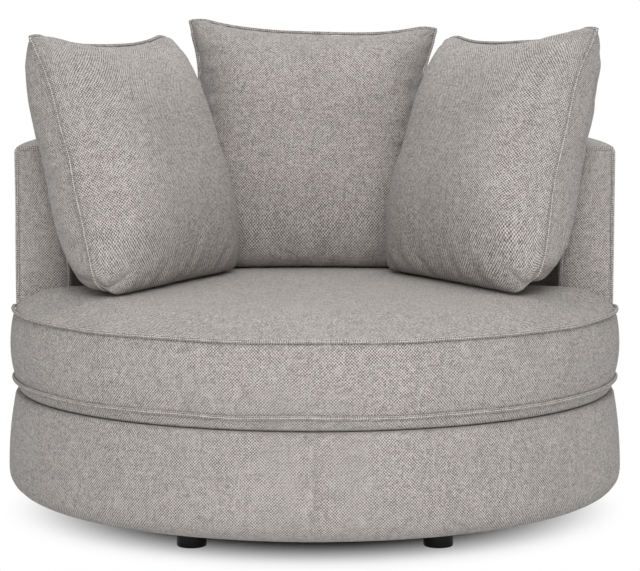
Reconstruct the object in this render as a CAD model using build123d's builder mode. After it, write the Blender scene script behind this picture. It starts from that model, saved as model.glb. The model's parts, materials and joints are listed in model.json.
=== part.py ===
from build123d import *
import os
from math import atan2, cos, degrees, hypot, radians, sin, sqrt, tan

# Round lounge chair: a drum base on short feet, a half-round padded wall, a
# T-shaped seat cushion and three loose pillows that lean on the wall.
# Millimetres, +Z up, the chair faces -Y, origin on the floor under the drum.

# Fits and sheet goods
FIT = 0.3
FILL_FIT = 0.7
FABRIC = 3.0
BOARD = 3.0
WELT_RADIUS = 5.0

# Feet
FOOT_NAMES = ("rear_right", "rear_left", "side_left", "front_left", "front_right", "side_right")
FIRST_FOOT_ANGLE = 60.0
FOOT_DIAMETER = 56.0
FOOT_HEIGHT = 46.0
FOOT_SETBACK = 157.5
FOOT_EDGE = 3.0
FOOT_BOLT_DIAMETER = 8.0
FOOT_BOLT_DEPTH = 30.0
TEE_NUT_BARREL = 10.0
TEE_NUT_FLANGE = 22.0
TEE_NUT_THICKNESS = 1.6

# Drum base
BASE_RADIUS = 619.5
BASE_DRAW = 15.5
BASE_HEIGHT = 201.0
BASE_ROLL = 45.0
BASE_FOAM = 26.0
HEM_WIDTH = 45.0
LIP_WIDTH = 42.0
RING_THICKNESS = 18.0
BOTTOM_RING_WIDTH = 165.0
TOP_RING_WIDTH = 120.0
POST_COUNT = 12
POST_WIDTH = 50.0
POST_DEPTH = 42.0
DECK_PAD = 12.0

# Seat springs
SPRING_COUNT = 7
SPRING_SPACING = 90.0
SPRING_WIRE = 4.0
SPRING_SWING = 40.0
SPRING_PITCH = 50.0
SPRING_BEND = 14.0
SPRING_TAIL = 24.0
CLIP_WIDTH = 16.0
CLIP_DEPTH = 14.0

# Half-round wall
WALL_OVERHANG = 3.0
WALL_THICKNESS = 113.0
WALL_HEIGHT = 484.0
WALL_TILT = 4.0
WALL_TOP_WIDTH = 61.0
WALL_FLARE_HEIGHT = 291.0
WALL_INNER_ROUND = 18.0
WALL_OUTER_ROUND = 10.0
RAIL_WIDTH = 28.0
RAIL_THICKNESS = 30.0
UPRIGHT_COUNT = 7
UPRIGHT_WIDTH = 32.0
ARM_POST_SETBACK = 4.0
ARM_PANEL = 8.0
ARM_PANEL_INSET = 9.0
ARM_WELT_RADIUS = 4.0
SCREW_COUNT = 8
SCREW_DIAMETER = 6.0
SCREW_HEAD = 14.0
SCREW_HEAD_HEIGHT = 4.0
SCREW_GRIP = 14.0

# Seat cushion
SEAT_OVERHANG = 1.0
SEAT_SLACK = 4.0
SEAT_BOXING = 137.0
SEAT_BOTTOM_ROLL = 26.7
SEAT_BOTTOM_REACH = 30.0
SEAT_BULGE = 13.0
SEAT_REAR_BULGE = 2.0
SEAT_CROWN = 48.0
SEAT_SHOULDER = 155.0
SEAT_SHOULDER_DROP = 9.0
SEAT_EDGE = 8.0
EAR_ROUND = 28.0
EAR_CREASE = 12.0
SEAT_ZIP_HALF_ANGLE = 50.0
ZIP_BOXING_HALF_ANGLE = 58.0

# Zips
ZIP_CHAIN_WIDTH = 6.0
ZIP_CHAIN_THICKNESS = 2.0
SLIDER_LENGTH = 11.0
SLIDER_WALL = 2.0
PULL_LENGTH = 22.0
PULL_THICKNESS = 1.5

# Loose pillows
PILLOW_WIDTH = 555.0
PILLOW_HEIGHT = 525.0
PILLOW_THICKNESS = 245.0
PILLOW_FLAT = 120.0
PILLOW_SIDE_DRAW = 24.0
PILLOW_TOP_DRAW = 22.0
PILLOW_CORNER = 34.0
PILLOW_ZIP_MARGIN = 57.5
LEFT_PILLOW_REAR = 141.5
RIGHT_PILLOW_REAR = 135.5
LEFT_PILLOW_SHIFT = LEFT_PILLOW_REAR - PILLOW_WIDTH / 2
RIGHT_PILLOW_SHIFT = PILLOW_WIDTH / 2 - RIGHT_PILLOW_REAR

# Where each pillow stands: the way its back faces, how far it is shifted along
# its width, its lean, its roll, and its room to the top of the wall. The side
# pillows are set by their rear ends, which stand ahead of the centre pillow.
PILLOWS = {
    "left": {"facing": 155.0, "shift": LEFT_PILLOW_SHIFT, "lean": 16.5, "roll": 0.2, "room": 50.0},
    "centre": {"facing": 90.0, "shift": -22.0, "lean": 10.0, "roll": -2.0, "room": 35.0},
    "right": {"facing": 27.7, "shift": RIGHT_PILLOW_SHIFT, "lean": 16.5, "roll": 1.7, "room": 56.0},
}

# Share of the reach at which a swelling form gets a section
SWELL_STEPS = (0.0, 0.04, 0.15, 0.35, 0.63, 1.0)
ROLL_STEPS = (0.0, 0.15, 0.5, 1.0)
SIDE_EASE = 0.9
CORNER_EASE = 0.06

# Where a pillow's underside is tried against the cushion: turns round its welt,
# and spots on each half of its width
WELT_UNDERSIDE = (225, 270, 315)
REST_SPOTS = 5

# Heights and radii that follow from the sizes above
DECK = FOOT_HEIGHT + BASE_HEIGHT
BASE_TOP_RADIUS = BASE_RADIUS - BASE_DRAW
FOOT_CIRCLE_RADIUS = BASE_RADIUS - FOOT_SETBACK
WALL_RADIUS = BASE_TOP_RADIUS + WALL_OVERHANG
WALL_ROOM_RADIUS = WALL_RADIUS - WALL_THICKNESS
SEAT_RADIUS = BASE_TOP_RADIUS + SEAT_OVERHANG
SEAT_SHOULDER_RADIUS = SEAT_RADIUS - SEAT_SHOULDER
PILLOW_ZIP = PILLOW_WIDTH - 2 * PILLOW_ZIP_MARGIN
HEM_TOP = FOOT_HEIGHT + FABRIC
RING_RADIUS = BASE_RADIUS - BASE_FOAM - BOARD - FIT
BOTTOM_RING_TOP = HEM_TOP + FIT + RING_THICKNESS
TOP_RING_TOP = DECK - FABRIC - FIT - DECK_PAD
TOP_RING_BOTTOM = TOP_RING_TOP - RING_THICKNESS
TOP_RING_ROOM = RING_RADIUS - TOP_RING_WIDTH
HEM_RADIUS = BASE_RADIUS - BASE_ROLL - HEM_WIDTH
LIP_RADIUS = BASE_TOP_RADIUS - LIP_WIDTH
WALL_FOOT = DECK + FIT
WALL_TOP = DECK + WALL_HEIGHT
FLARE_START = WALL_TOP - WALL_FLARE_HEIGHT
WALL_LIMIT = WALL_TOP + WALL_RADIUS * tan(radians(WALL_TILT)) + RAIL_THICKNESS
RAIL_OUTER = WALL_RADIUS - FABRIC - BOARD - 2 * FIT
RAIL_INNER = RAIL_OUTER - RAIL_WIDTH
SEAT_REAR_RADIUS = WALL_ROOM_RADIUS - 2 * WELT_RADIUS - SEAT_SLACK
EAR_BACK = -(FIT + ARM_PANEL + 2 * WELT_RADIUS + SEAT_SLACK)
SEAT_BOTTOM = DECK + FIT
LOWER_SEAM = SEAT_BOTTOM + SEAT_BOTTOM_ROLL
UPPER_SEAM = LOWER_SEAM + SEAT_BOXING
MID_BOXING = (LOWER_SEAM + UPPER_SEAM) / 2
PILLOW_REACH = (PILLOW_HEIGHT - PILLOW_FLAT) / 2

os.makedirs("parts", exist_ok=True)


def keep(piece, name):
    """Label a finished piece and write it as its own file."""
    piece.label = name
    export_step(piece, f"parts/{name}.step")


def polar(radius, angle):
    """Point at a radius and an angle in degrees."""
    return (radius * cos(radians(angle)), radius * sin(radians(angle)))


def swell(step):
    """Height of a quarter ellipse, from 0 at its rim to 1 at its crown."""
    return sqrt(1 - (1 - step) ** 2)


def ring(outer, inner, bottom, top):
    """Flat ring between two heights."""
    with BuildPart() as band:
        with BuildSketch(Plane.XY.offset(bottom)):
            Circle(outer)
            Circle(inner, mode=Mode.SUBTRACT)
        extrude(amount=top - bottom)
    return band.part


# Drum base

SIDE_DROP = BASE_RADIUS - BASE_TOP_RADIUS
SIDE_RISE = BASE_HEIGHT - BASE_ROLL
SIDE_ARC = (SIDE_DROP**2 + SIDE_RISE**2) / (2 * SIDE_DROP)
ROLL_CENTRE = (BASE_RADIUS - BASE_ROLL, FOOT_HEIGHT + BASE_ROLL)


def side_radius(height, inset):
    """Radius of the drum's side above the roll of its lower edge."""
    rise = height - ROLL_CENTRE[1]
    return BASE_RADIUS - SIDE_ARC + sqrt((SIDE_ARC - inset) ** 2 - rise**2)


def drum(inset):
    """Solid drum with bulging sides and a rolled lower edge, drawn in all round."""
    roll = BASE_ROLL - inset
    bottom = FOOT_HEIGHT + inset
    top = DECK - inset
    middle = (ROLL_CENTRE[1] + top) / 2
    with BuildPart() as block:
        with BuildSketch(Plane.XZ):
            with BuildLine():
                Line((0, bottom), (ROLL_CENTRE[0], bottom))
                CenterArc(ROLL_CENTRE, roll, 270, 90)
                ThreePointArc(
                    (BASE_RADIUS - inset, ROLL_CENTRE[1]),
                    (side_radius(middle, inset), middle),
                    (side_radius(top, inset), top),
                )
                Polyline((side_radius(top, inset), top), (0, top), (0, bottom))
            make_face()
        revolve(axis=Axis.Z)
    return block.part


foot_places = PolarLocations(FOOT_CIRCLE_RADIUS, len(FOOT_NAMES), FIRST_FOOT_ANGLE)
screw_step = 180 / SCREW_COUNT
screw_circle = (RAIL_INNER + RING_RADIUS) / 2
screw_span = 180 - screw_step
screw_places = PolarLocations(screw_circle, SCREW_COUNT, screw_step / 2, screw_span, endpoint=True)
screw_hole = SCREW_DIAMETER / 2 + FIT

with BuildPart() as base_cover:
    add(drum(0))
    add(drum(FABRIC), mode=Mode.SUBTRACT)
    Cylinder(LIP_RADIUS, 2 * DECK, mode=Mode.SUBTRACT)
    add(ring(LIP_RADIUS + FIT, HEM_RADIUS, FOOT_HEIGHT, HEM_TOP))
    with BuildSketch(Plane.XY.offset(DECK)):
        with screw_places:
            Circle(screw_hole)
    extrude(amount=-2 * FABRIC, mode=Mode.SUBTRACT)

with BuildPart() as base_bottom_ring:
    add(drum(FABRIC + FIT))
    add(ring(RING_RADIUS, RING_RADIUS - BOTTOM_RING_WIDTH, 0, BOTTOM_RING_TOP), mode=Mode.INTERSECT)
    with foot_places:
        Cylinder(TEE_NUT_BARREL / 2 + FIT, 2 * DECK, mode=Mode.SUBTRACT)

with BuildPart() as base_top_ring:
    add(ring(RING_RADIUS, TOP_RING_ROOM, TOP_RING_BOTTOM, TOP_RING_TOP))
    with BuildSketch(Plane.XY.offset(TOP_RING_TOP)):
        with screw_places:
            Circle(screw_hole)
    extrude(amount=-SCREW_GRIP - FIT, mode=Mode.SUBTRACT)

with BuildPart() as base_posts:
    with BuildSketch(Plane.XY.offset(BOTTOM_RING_TOP)):
        with PolarLocations(RING_RADIUS - POST_DEPTH / 2 - FABRIC, POST_COUNT):
            Rectangle(POST_DEPTH, POST_WIDTH)
    extrude(amount=TOP_RING_BOTTOM - BOTTOM_RING_TOP)

with BuildPart() as base_wrap_board:
    add(drum(FABRIC + FIT))
    add(ring(RING_RADIUS + FIT + BOARD, RING_RADIUS + FIT, 0, TOP_RING_TOP), mode=Mode.INTERSECT)

with BuildPart() as base_foam:
    add(drum(FABRIC + FIT))
    Cylinder(RING_RADIUS + BOARD + 2 * FIT, 2 * DECK, mode=Mode.SUBTRACT)

with BuildPart() as dust_cover:
    with BuildSketch(Plane.XY.offset(FOOT_HEIGHT)):
        Circle(HEM_RADIUS - FIT)
        with foot_places:
            Circle(FOOT_BOLT_DIAMETER / 2 + FIT, mode=Mode.SUBTRACT)
    extrude(amount=FABRIC)

with BuildPart() as deck_pad:
    with BuildSketch(Plane.XY.offset(TOP_RING_TOP)):
        Circle(RING_RADIUS)
        with screw_places:
            Circle(screw_hole, mode=Mode.SUBTRACT)
    extrude(amount=DECK_PAD)

with BuildPart() as deck_cover:
    with BuildSketch(Plane.XY.offset(DECK - FABRIC)):
        Circle(LIP_RADIUS - FIT)
    extrude(amount=FABRIC)

keep(base_cover.part, "base_cover")
keep(base_bottom_ring.part, "base_bottom_ring")
keep(base_top_ring.part, "base_top_ring")
keep(base_posts.part, "base_posts")
keep(base_wrap_board.part, "base_wrap_board")
keep(base_foam.part, "base_foam")
keep(dust_cover.part, "dust_cover")
keep(deck_pad.part, "deck_pad")
keep(deck_cover.part, "deck_cover")


# Feet

for foot_name, foot_place in zip(FOOT_NAMES, foot_places.locations):
    with BuildPart(Plane(foot_place)) as foot:
        Cylinder(FOOT_DIAMETER / 2, FOOT_HEIGHT, align=(Align.CENTER, Align.CENTER, Align.MIN))
        fillet(foot.edges().filter_by(GeomType.CIRCLE), FOOT_EDGE)
        with Locations((0, 0, FOOT_HEIGHT)):
            Hole(FOOT_BOLT_DIAMETER / 2 + FIT, FOOT_BOLT_DEPTH + FIT)
    keep(foot.part, f"foot_{foot_name}")

with BuildPart() as foot_bolts:
    with BuildSketch(Plane.XY.offset(FOOT_HEIGHT - FOOT_BOLT_DEPTH)):
        with foot_places:
            Circle(FOOT_BOLT_DIAMETER / 2)
    extrude(amount=BOTTOM_RING_TOP + TEE_NUT_THICKNESS - FOOT_HEIGHT + FOOT_BOLT_DEPTH)
keep(foot_bolts.part, "foot_bolts")

with BuildPart() as tee_nuts:
    with BuildSketch(Plane.XY.offset(HEM_TOP + FIT)):
        with foot_places:
            Circle(TEE_NUT_BARREL / 2)
    extrude(amount=RING_THICKNESS)
    with BuildSketch(Plane.XY.offset(BOTTOM_RING_TOP)):
        with foot_places:
            Circle(TEE_NUT_FLANGE / 2)
    extrude(amount=TEE_NUT_THICKNESS)
    with foot_places:
        Cylinder(FOOT_BOLT_DIAMETER / 2 + FIT / 3, 2 * DECK, mode=Mode.SUBTRACT)
keep(tee_nuts.part, "tee_nuts")


# Seat springs: zigzag wires from front to rear, held by clips inside the top ring

SPRING_LEVEL = (TOP_RING_BOTTOM + TOP_RING_TOP) / 2
CLIP_CIRCLE = TOP_RING_ROOM - FIT
spring_columns = [(index - (SPRING_COUNT - 1) / 2) * SPRING_SPACING for index in range(SPRING_COUNT)]


def spring_reach(column):
    """Half length of the wire in one column, from its middle to its clip."""
    return sqrt((CLIP_CIRCLE - FIT) ** 2 - (abs(column) + CLIP_WIDTH / 2) ** 2) - CLIP_DEPTH / 2


def spring_points(column):
    """Corners of one wire: straight tails at both clips, zigzag between them."""
    reach = spring_reach(column)
    bends = 2 * int((reach - SPRING_TAIL) / SPRING_PITCH)
    first = -SPRING_PITCH * (bends - 1) / 2
    zigzag = [
        (column + SPRING_SWING / 2 * (-1) ** bend, first + bend * SPRING_PITCH)
        for bend in range(bends)
    ]
    front_tail = [(column, -reach), (column, first - SPRING_TAIL)]
    rear_tail = [(column, SPRING_TAIL - first), (column, reach)]
    return [(x, y, SPRING_LEVEL) for x, y in front_tail + zigzag + rear_tail]


with BuildPart() as seat_springs:
    for column in spring_columns:
        with BuildLine() as wire:
            FilletPolyline(*spring_points(column), radius=SPRING_BEND)
        with BuildSketch(Plane(origin=wire.line @ 0, z_dir=wire.line % 0)):
            Circle(SPRING_WIRE / 2)
        sweep(path=wire.line)
keep(seat_springs.part, "seat_springs")

with BuildPart() as spring_clips:
    for column in spring_columns:
        for end in (-1, 1):
            with Locations((column, end * spring_reach(column), SPRING_LEVEL)):
                Box(CLIP_WIDTH, CLIP_DEPTH, RING_THICKNESS / 2)
                Cylinder(SPRING_WIRE / 2 + FIT / 3, 2 * CLIP_DEPTH, rotation=(90, 0, 0), mode=Mode.SUBTRACT)
keep(spring_clips.part, "spring_clips")


# Half-round wall

FLARE_RUN = WALL_RADIUS - WALL_TOP_WIDTH - WALL_ROOM_RADIUS
FLARE_ARC = (FLARE_RUN**2 + WALL_FLARE_HEIGHT**2) / (2 * FLARE_RUN)
TOP_NORMAL = (0, -sin(radians(WALL_TILT)), cos(radians(WALL_TILT)))


def room_radius(height, inset=0.0):
    """Radius of the wall's inner face, straight at its foot and flaring above."""
    rise = max(height - FLARE_START, 0)
    return WALL_ROOM_RADIUS + FLARE_ARC - sqrt((FLARE_ARC - inset) ** 2 - rise**2)


def wall_outline(inset, top):
    """Line round the wall's section, drawn in on its faces and level at the top."""
    middle = (FLARE_START + top) / 2
    foot = (room_radius(FLARE_START, inset), WALL_FOOT)
    with BuildLine() as outline:
        Line(foot, (foot[0], FLARE_START))
        ThreePointArc(
            (foot[0], FLARE_START),
            (room_radius(middle, inset), middle),
            (room_radius(top, inset), top),
        )
        outer = WALL_RADIUS - inset
        Polyline((room_radius(top, inset), top), (outer, top), (outer, WALL_FOOT), foot)
    return outline.line


def top_plane(depth):
    """Sloping plane at a depth below the wall's top."""
    return Plane(origin=(0, 0, WALL_TOP - depth), z_dir=TOP_NORMAL)


def wall(inset):
    """Half-round wall with a sloping top and rounded top edges, drawn in."""
    with BuildPart() as half_ring:
        with BuildSketch(Plane.XZ):
            make_face(wall_outline(inset, WALL_LIMIT).edges())
        revolve(axis=Axis.Z, revolution_arc=180)
        split(bisect_by=top_plane(inset), keep=Keep.BOTTOM)
        for place, rounding in ((-2, WALL_INNER_ROUND), (-1, WALL_OUTER_ROUND)):
            top = half_ring.faces().sort_by(Axis((0, 0, 0), TOP_NORMAL))[-1]
            fillet(top.edges().sort_by(SortBy.LENGTH)[place], rounding - inset)
    return half_ring.part


wall_skin = wall(0)
wall_lining = wall(FABRIC)
wall_core = wall(FABRIC + FIT)


def core_slice(outer, inner):
    """Stretch of the wall's core between two radii."""
    with BuildPart() as stretch:
        add(wall_core)
        add(ring(outer, inner, 0, WALL_LIMIT), mode=Mode.INTERSECT)
    return stretch.part


with BuildPart() as back_outer_cover:
    add(wall_skin)
    add(wall_lining, mode=Mode.SUBTRACT)
    Cylinder(WALL_RADIUS - FABRIC, 2 * WALL_LIMIT, mode=Mode.SUBTRACT)

with BuildPart() as back_inner_cover:
    add(wall_skin)
    add(wall_lining, mode=Mode.SUBTRACT)
    Cylinder(WALL_RADIUS - FABRIC, 2 * WALL_LIMIT, mode=Mode.INTERSECT)

with BuildPart() as back_outer_board:
    add(core_slice(RAIL_OUTER + FIT + BOARD, RAIL_OUTER + FIT))

with BuildPart() as back_inner_board:
    add(core_slice(RAIL_INNER - FIT, RAIL_INNER - FIT - BOARD))

with BuildPart() as back_foam:
    add(wall_core)
    Cylinder(RAIL_INNER - BOARD - 2 * FIT, 2 * WALL_LIMIT, mode=Mode.INTERSECT)

with BuildPart() as back_bottom_rail:
    add(core_slice(RAIL_OUTER, RAIL_INNER))
    split(bisect_by=Plane.XY.offset(WALL_FOOT + RAIL_THICKNESS), keep=Keep.BOTTOM)
    with screw_places:
        Cylinder(screw_hole, 2 * WALL_LIMIT, mode=Mode.SUBTRACT)

with BuildPart() as back_top_rail:
    add(core_slice(RAIL_OUTER, RAIL_INNER))
    split(bisect_by=top_plane(FABRIC + FIT + RAIL_THICKNESS), keep=Keep.TOP)

upright_step = 180 / (UPRIGHT_COUNT + 1)
upright_depth = RAIL_WIDTH - FABRIC
with BuildPart() as back_uprights:
    with BuildSketch(Plane.XY.offset(WALL_FOOT + RAIL_THICKNESS)):
        with PolarLocations(
            (RAIL_OUTER + RAIL_INNER) / 2, UPRIGHT_COUNT, upright_step, 180 - 2 * upright_step, endpoint=True
        ):
            Rectangle(upright_depth, UPRIGHT_WIDTH)
    extrude(amount=WALL_LIMIT)
    split(bisect_by=top_plane(FABRIC + FIT + RAIL_THICKNESS), keep=Keep.BOTTOM)

with BuildPart() as arm_posts:
    with BuildSketch(Plane.XY.offset(WALL_FOOT + RAIL_THICKNESS)):
        for side in (-1, 1):
            with Locations((side * (RAIL_OUTER + RAIL_INNER) / 2, ARM_POST_SETBACK + UPRIGHT_WIDTH / 2)):
                Rectangle(upright_depth, UPRIGHT_WIDTH)
    extrude(amount=WALL_LIMIT)
    split(bisect_by=top_plane(FABRIC + FIT + RAIL_THICKNESS), keep=Keep.BOTTOM)

with BuildPart() as frame_screws:
    with BuildSketch(Plane.XY.offset(TOP_RING_TOP - SCREW_GRIP)):
        with screw_places:
            Circle(SCREW_DIAMETER / 2)
    extrude(amount=WALL_FOOT + RAIL_THICKNESS - TOP_RING_TOP + SCREW_GRIP)
    with BuildSketch(Plane.XY.offset(WALL_FOOT + RAIL_THICKNESS)):
        with screw_places:
            Circle(SCREW_HEAD / 2)
    extrude(amount=SCREW_HEAD_HEIGHT)

keep(back_outer_cover.part, "back_outer_cover")
keep(back_inner_cover.part, "back_inner_cover")
keep(back_outer_board.part, "back_outer_board")
keep(back_inner_board.part, "back_inner_board")
keep(back_foam.part, "back_foam")
keep(back_bottom_rail.part, "back_bottom_rail")
keep(back_top_rail.part, "back_top_rail")
keep(back_uprights.part, "back_uprights")
keep(arm_posts.part, "arm_posts")
keep(frame_screws.part, "frame_screws")


# Arm fronts: a flat panel and a welt round its edge, on each end of the wall


def arm_section(inset, depth):
    """Face of an arm's front, drawn in all round, at a depth ahead of the wall."""
    with BuildSketch(Plane.XZ.offset(depth)) as section:
        make_face(wall_outline(inset, WALL_TOP - inset).edges())
        tops = section.vertices().group_by(Axis.Y)[-1].sort_by(Axis.X)
        fillet(tops[0], WALL_INNER_ROUND - inset)
        tops = section.vertices().group_by(Axis.Y)[-1].sort_by(Axis.X)
        fillet(tops[-1], max(WALL_OUTER_ROUND - inset, FIT))
    return section.sketch


with BuildPart() as right_arm_panel:
    add(arm_section(ARM_PANEL_INSET, FIT))
    extrude(amount=ARM_PANEL, dir=(0, -1, 0))

with BuildPart() as left_arm_panel:
    mirror(right_arm_panel.part, about=Plane.YZ)

with BuildPart() as arm_welts:
    around = Wire(arm_section(ARM_PANEL_INSET / 2, FIT + ARM_WELT_RADIUS).edges().sort_by(Axis.Z)[1:])
    with BuildSketch(Plane(origin=around @ 0, z_dir=around % 0)):
        Circle(ARM_WELT_RADIUS)
    sweep(path=around)
    mirror(about=Plane.YZ)

keep(right_arm_panel.part, "arm_panel_right")
keep(left_arm_panel.part, "arm_panel_left")
keep(arm_welts.part, "arm_welts")


# Seat cushion


def seat_section(height, front, rear, ear, inset):
    """Face of the cushion's T outline at a height, drawn in all round."""
    front = front - inset
    rear = rear - inset
    ear = ear - inset
    front_x = sqrt(front**2 - ear**2)
    rear_x = sqrt(rear**2 - ear**2)
    front_middle = (degrees(atan2(ear, front_x)) - 90) / 2
    rear_middle = (degrees(atan2(ear, rear_x)) + 90) / 2
    with BuildSketch(Plane.XY.offset(height)) as section:
        with BuildLine():
            ThreePointArc((front_x, ear), polar(front, front_middle), (0, -front))
            ThreePointArc((0, -front), polar(front, 180 - front_middle), (-front_x, ear))
            Line((-front_x, ear), (-rear_x, ear))
            ThreePointArc((-rear_x, ear), polar(rear, 180 - rear_middle), (0, rear))
            ThreePointArc((0, rear), polar(rear, rear_middle), (rear_x, ear))
            Line((rear_x, ear), (front_x, ear))
        make_face()
        corners = section.vertices().filter_by_position(Axis.Y, ear - FIT, ear + FIT).sort_by(Axis.X)
        fillet(corners[1:3], EAR_CREASE + inset)
        corners = section.vertices().filter_by_position(Axis.Y, ear - FIT, ear + FIT).sort_by(Axis.X)
        fillet([corners[0], corners[-1]], EAR_ROUND - inset)
    return section.sketch


# The dome is a wide cap, tangent at its shoulder to a tighter arc that drops to the edge
CROWN_TOP = UPPER_SEAM + SEAT_CROWN
CAP_ARC = (SEAT_SHOULDER_RADIUS**2 + SEAT_SHOULDER_DROP**2) / (2 * SEAT_SHOULDER_DROP)
CAP_CENTRE = Vector(0, CROWN_TOP - CAP_ARC)
SHOULDER = Vector(SEAT_SHOULDER_RADIUS, CROWN_TOP - SEAT_SHOULDER_DROP)
SHOULDER_NORMAL = (SHOULDER - CAP_CENTRE).normalized()
EDGE_FALL = Vector(SEAT_RADIUS, UPPER_SEAM + SEAT_EDGE) - SHOULDER
EDGE_ARC = -EDGE_FALL.dot(EDGE_FALL) / (2 * EDGE_FALL.dot(SHOULDER_NORMAL))
EDGE_CENTRE = SHOULDER - SHOULDER_NORMAL * EDGE_ARC
DOME_LIMIT = SEAT_RADIUS + SEAT_BULGE


def dome_height(radius, inset=0.0):
    """Height of the cushion's domed top at a radius, drawn in by an inset."""
    if radius < SHOULDER.X - inset * SHOULDER_NORMAL.X:
        return CAP_CENTRE.Y + sqrt((CAP_ARC - inset) ** 2 - radius**2)
    return EDGE_CENTRE.Y + sqrt((EDGE_ARC - inset) ** 2 - (radius - EDGE_CENTRE.X) ** 2)


def seat_crown(inset):
    """Domed top of the cushion above its upper seam."""
    shoulder = SHOULDER - SHOULDER_NORMAL * inset
    inner, outer = shoulder.X / 2, (shoulder.X + DOME_LIMIT) / 2
    with BuildPart() as crown:
        with BuildSketch(Plane.XZ):
            with BuildLine():
                ThreePointArc(
                    (0, dome_height(0, inset)), (inner, dome_height(inner, inset)), (shoulder.X, shoulder.Y)
                )
                ThreePointArc(
                    (shoulder.X, shoulder.Y),
                    (outer, dome_height(outer, inset)),
                    (DOME_LIMIT, dome_height(DOME_LIMIT, inset)),
                )
                Polyline(
                    (DOME_LIMIT, dome_height(DOME_LIMIT, inset)),
                    (DOME_LIMIT, LOWER_SEAM),
                    (0, LOWER_SEAM),
                    (0, dome_height(0, inset)),
                )
            make_face()
        revolve(axis=Axis.Z)
        plan = seat_section(UPPER_SEAM, SEAT_RADIUS, SEAT_REAR_RADIUS, EAR_BACK, inset)
        extrude(plan, amount=2 * SEAT_CROWN, mode=Mode.INTERSECT)
    return crown.part


def seat_sides(inset):
    """Band of the cushion between its seams, bulging between them."""
    sections = [
        seat_section(
            height,
            SEAT_RADIUS + SEAT_BULGE * bulge,
            SEAT_REAR_RADIUS + SEAT_REAR_BULGE * bulge,
            EAR_BACK + SEAT_REAR_BULGE * bulge,
            inset,
        )
        for height, bulge in ((LOWER_SEAM, 0), (MID_BOXING, 1), (UPPER_SEAM, 0))
    ]
    with BuildPart() as band:
        loft(sections)
    return band.part


def seat_underside(inset):
    """Rolled underside of the cushion below its lower seam."""
    sections = [
        seat_section(
            LOWER_SEAM - (SEAT_BOTTOM_ROLL - inset) * swell(step),
            SEAT_RADIUS - SEAT_BOTTOM_REACH * step,
            SEAT_REAR_RADIUS - SEAT_BOTTOM_REACH * step,
            EAR_BACK,
            inset,
        )
        for step in ROLL_STEPS
    ]
    with BuildPart() as tray:
        loft(sections)
    return tray.part


with BuildPart() as seat_top_panel:
    add(seat_crown(0))
    add(seat_crown(FABRIC), mode=Mode.SUBTRACT)

with BuildPart() as seat_bottom_panel:
    add(seat_underside(0))
    add(seat_underside(FABRIC), mode=Mode.SUBTRACT)

ZIP_BOXING_LINE = SEAT_REAR_RADIUS * cos(radians(ZIP_BOXING_HALF_ANGLE))
with BuildPart() as seat_band:
    add(seat_sides(0))
    add(seat_sides(FABRIC), mode=Mode.SUBTRACT)

with BuildPart() as seat_boxing:
    add(seat_band.part)
    split(bisect_by=Plane.XZ.offset(-ZIP_BOXING_LINE), keep=Keep.TOP)

with BuildPart() as seat_zip_boxing:
    add(seat_band.part)
    split(bisect_by=Plane.XZ.offset(-ZIP_BOXING_LINE - FIT), keep=Keep.BOTTOM)

with BuildPart() as seat_foam_core:
    add(seat_underside(FABRIC + FILL_FIT))
    add(seat_sides(FABRIC + FILL_FIT))
    add(seat_crown(FABRIC + FILL_FIT))

keep(seat_top_panel.part, "seat_top_panel")
keep(seat_bottom_panel.part, "seat_bottom_panel")
keep(seat_boxing.part, "seat_boxing")
keep(seat_zip_boxing.part, "seat_zip_boxing")
keep(seat_foam_core.part, "seat_foam_core")


def seat_welt(height):
    """Cord round the cushion, just outside the seam at a height."""
    outline = seat_section(height, SEAT_RADIUS, SEAT_REAR_RADIUS, EAR_BACK, -WELT_RADIUS - FIT)
    around = outline.face().outer_wire()
    with BuildPart() as welt:
        with BuildSketch(Plane(origin=around @ 0, z_dir=around % 0)):
            Circle(WELT_RADIUS)
        sweep(path=around)
    return welt.part


keep(seat_welt(UPPER_SEAM), "seat_upper_welt")
keep(seat_welt(LOWER_SEAM), "seat_lower_welt")

CHAIN_INNER = SEAT_REAR_RADIUS + SEAT_REAR_BULGE + FIT
CHAIN_OUTER = CHAIN_INNER + ZIP_CHAIN_THICKNESS


def rear_arc(outer, inner, half_height, first, last):
    """Curved strip on the cushion's rear between two angles."""
    with BuildPart() as strip:
        with BuildSketch(Plane.XZ):
            with Locations(((outer + inner) / 2, MID_BOXING)):
                Rectangle(outer - inner, 2 * half_height)
        revolve(axis=Axis.Z, revolution_arc=last - first)
    return Rot(0, 0, first) * strip.part


SEAT_ZIP_FIRST = 90 - SEAT_ZIP_HALF_ANGLE
SEAT_ZIP_LAST = 90 + SEAT_ZIP_HALF_ANGLE
with BuildPart() as seat_zip_chain:
    add(rear_arc(CHAIN_OUTER, CHAIN_INNER, ZIP_CHAIN_WIDTH / 2, SEAT_ZIP_FIRST, SEAT_ZIP_LAST))
keep(seat_zip_chain.part, "seat_zip_chain")

slider_turn = degrees(SLIDER_LENGTH / CHAIN_OUTER)
pull_turn = degrees(PULL_LENGTH / CHAIN_OUTER)
slider_half_height = ZIP_CHAIN_WIDTH / 2 + FIT + SLIDER_WALL
slider_face = CHAIN_OUTER + FIT
with BuildPart() as seat_zip_slider:
    add(
        rear_arc(
            slider_face + SLIDER_WALL,
            CHAIN_INNER + FIT,
            slider_half_height,
            SEAT_ZIP_LAST - slider_turn,
            SEAT_ZIP_LAST,
        )
    )
    add(
        rear_arc(
            slider_face, CHAIN_INNER, ZIP_CHAIN_WIDTH / 2 + FIT, SEAT_ZIP_FIRST, SEAT_ZIP_LAST + slider_turn
        ),
        mode=Mode.SUBTRACT,
    )
    add(
        rear_arc(
            slider_face + SLIDER_WALL,
            slider_face + SLIDER_WALL - PULL_THICKNESS,
            ZIP_CHAIN_WIDTH / 2,
            SEAT_ZIP_LAST - slider_turn - pull_turn,
            SEAT_ZIP_LAST - slider_turn / 2,
        )
    )
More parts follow.
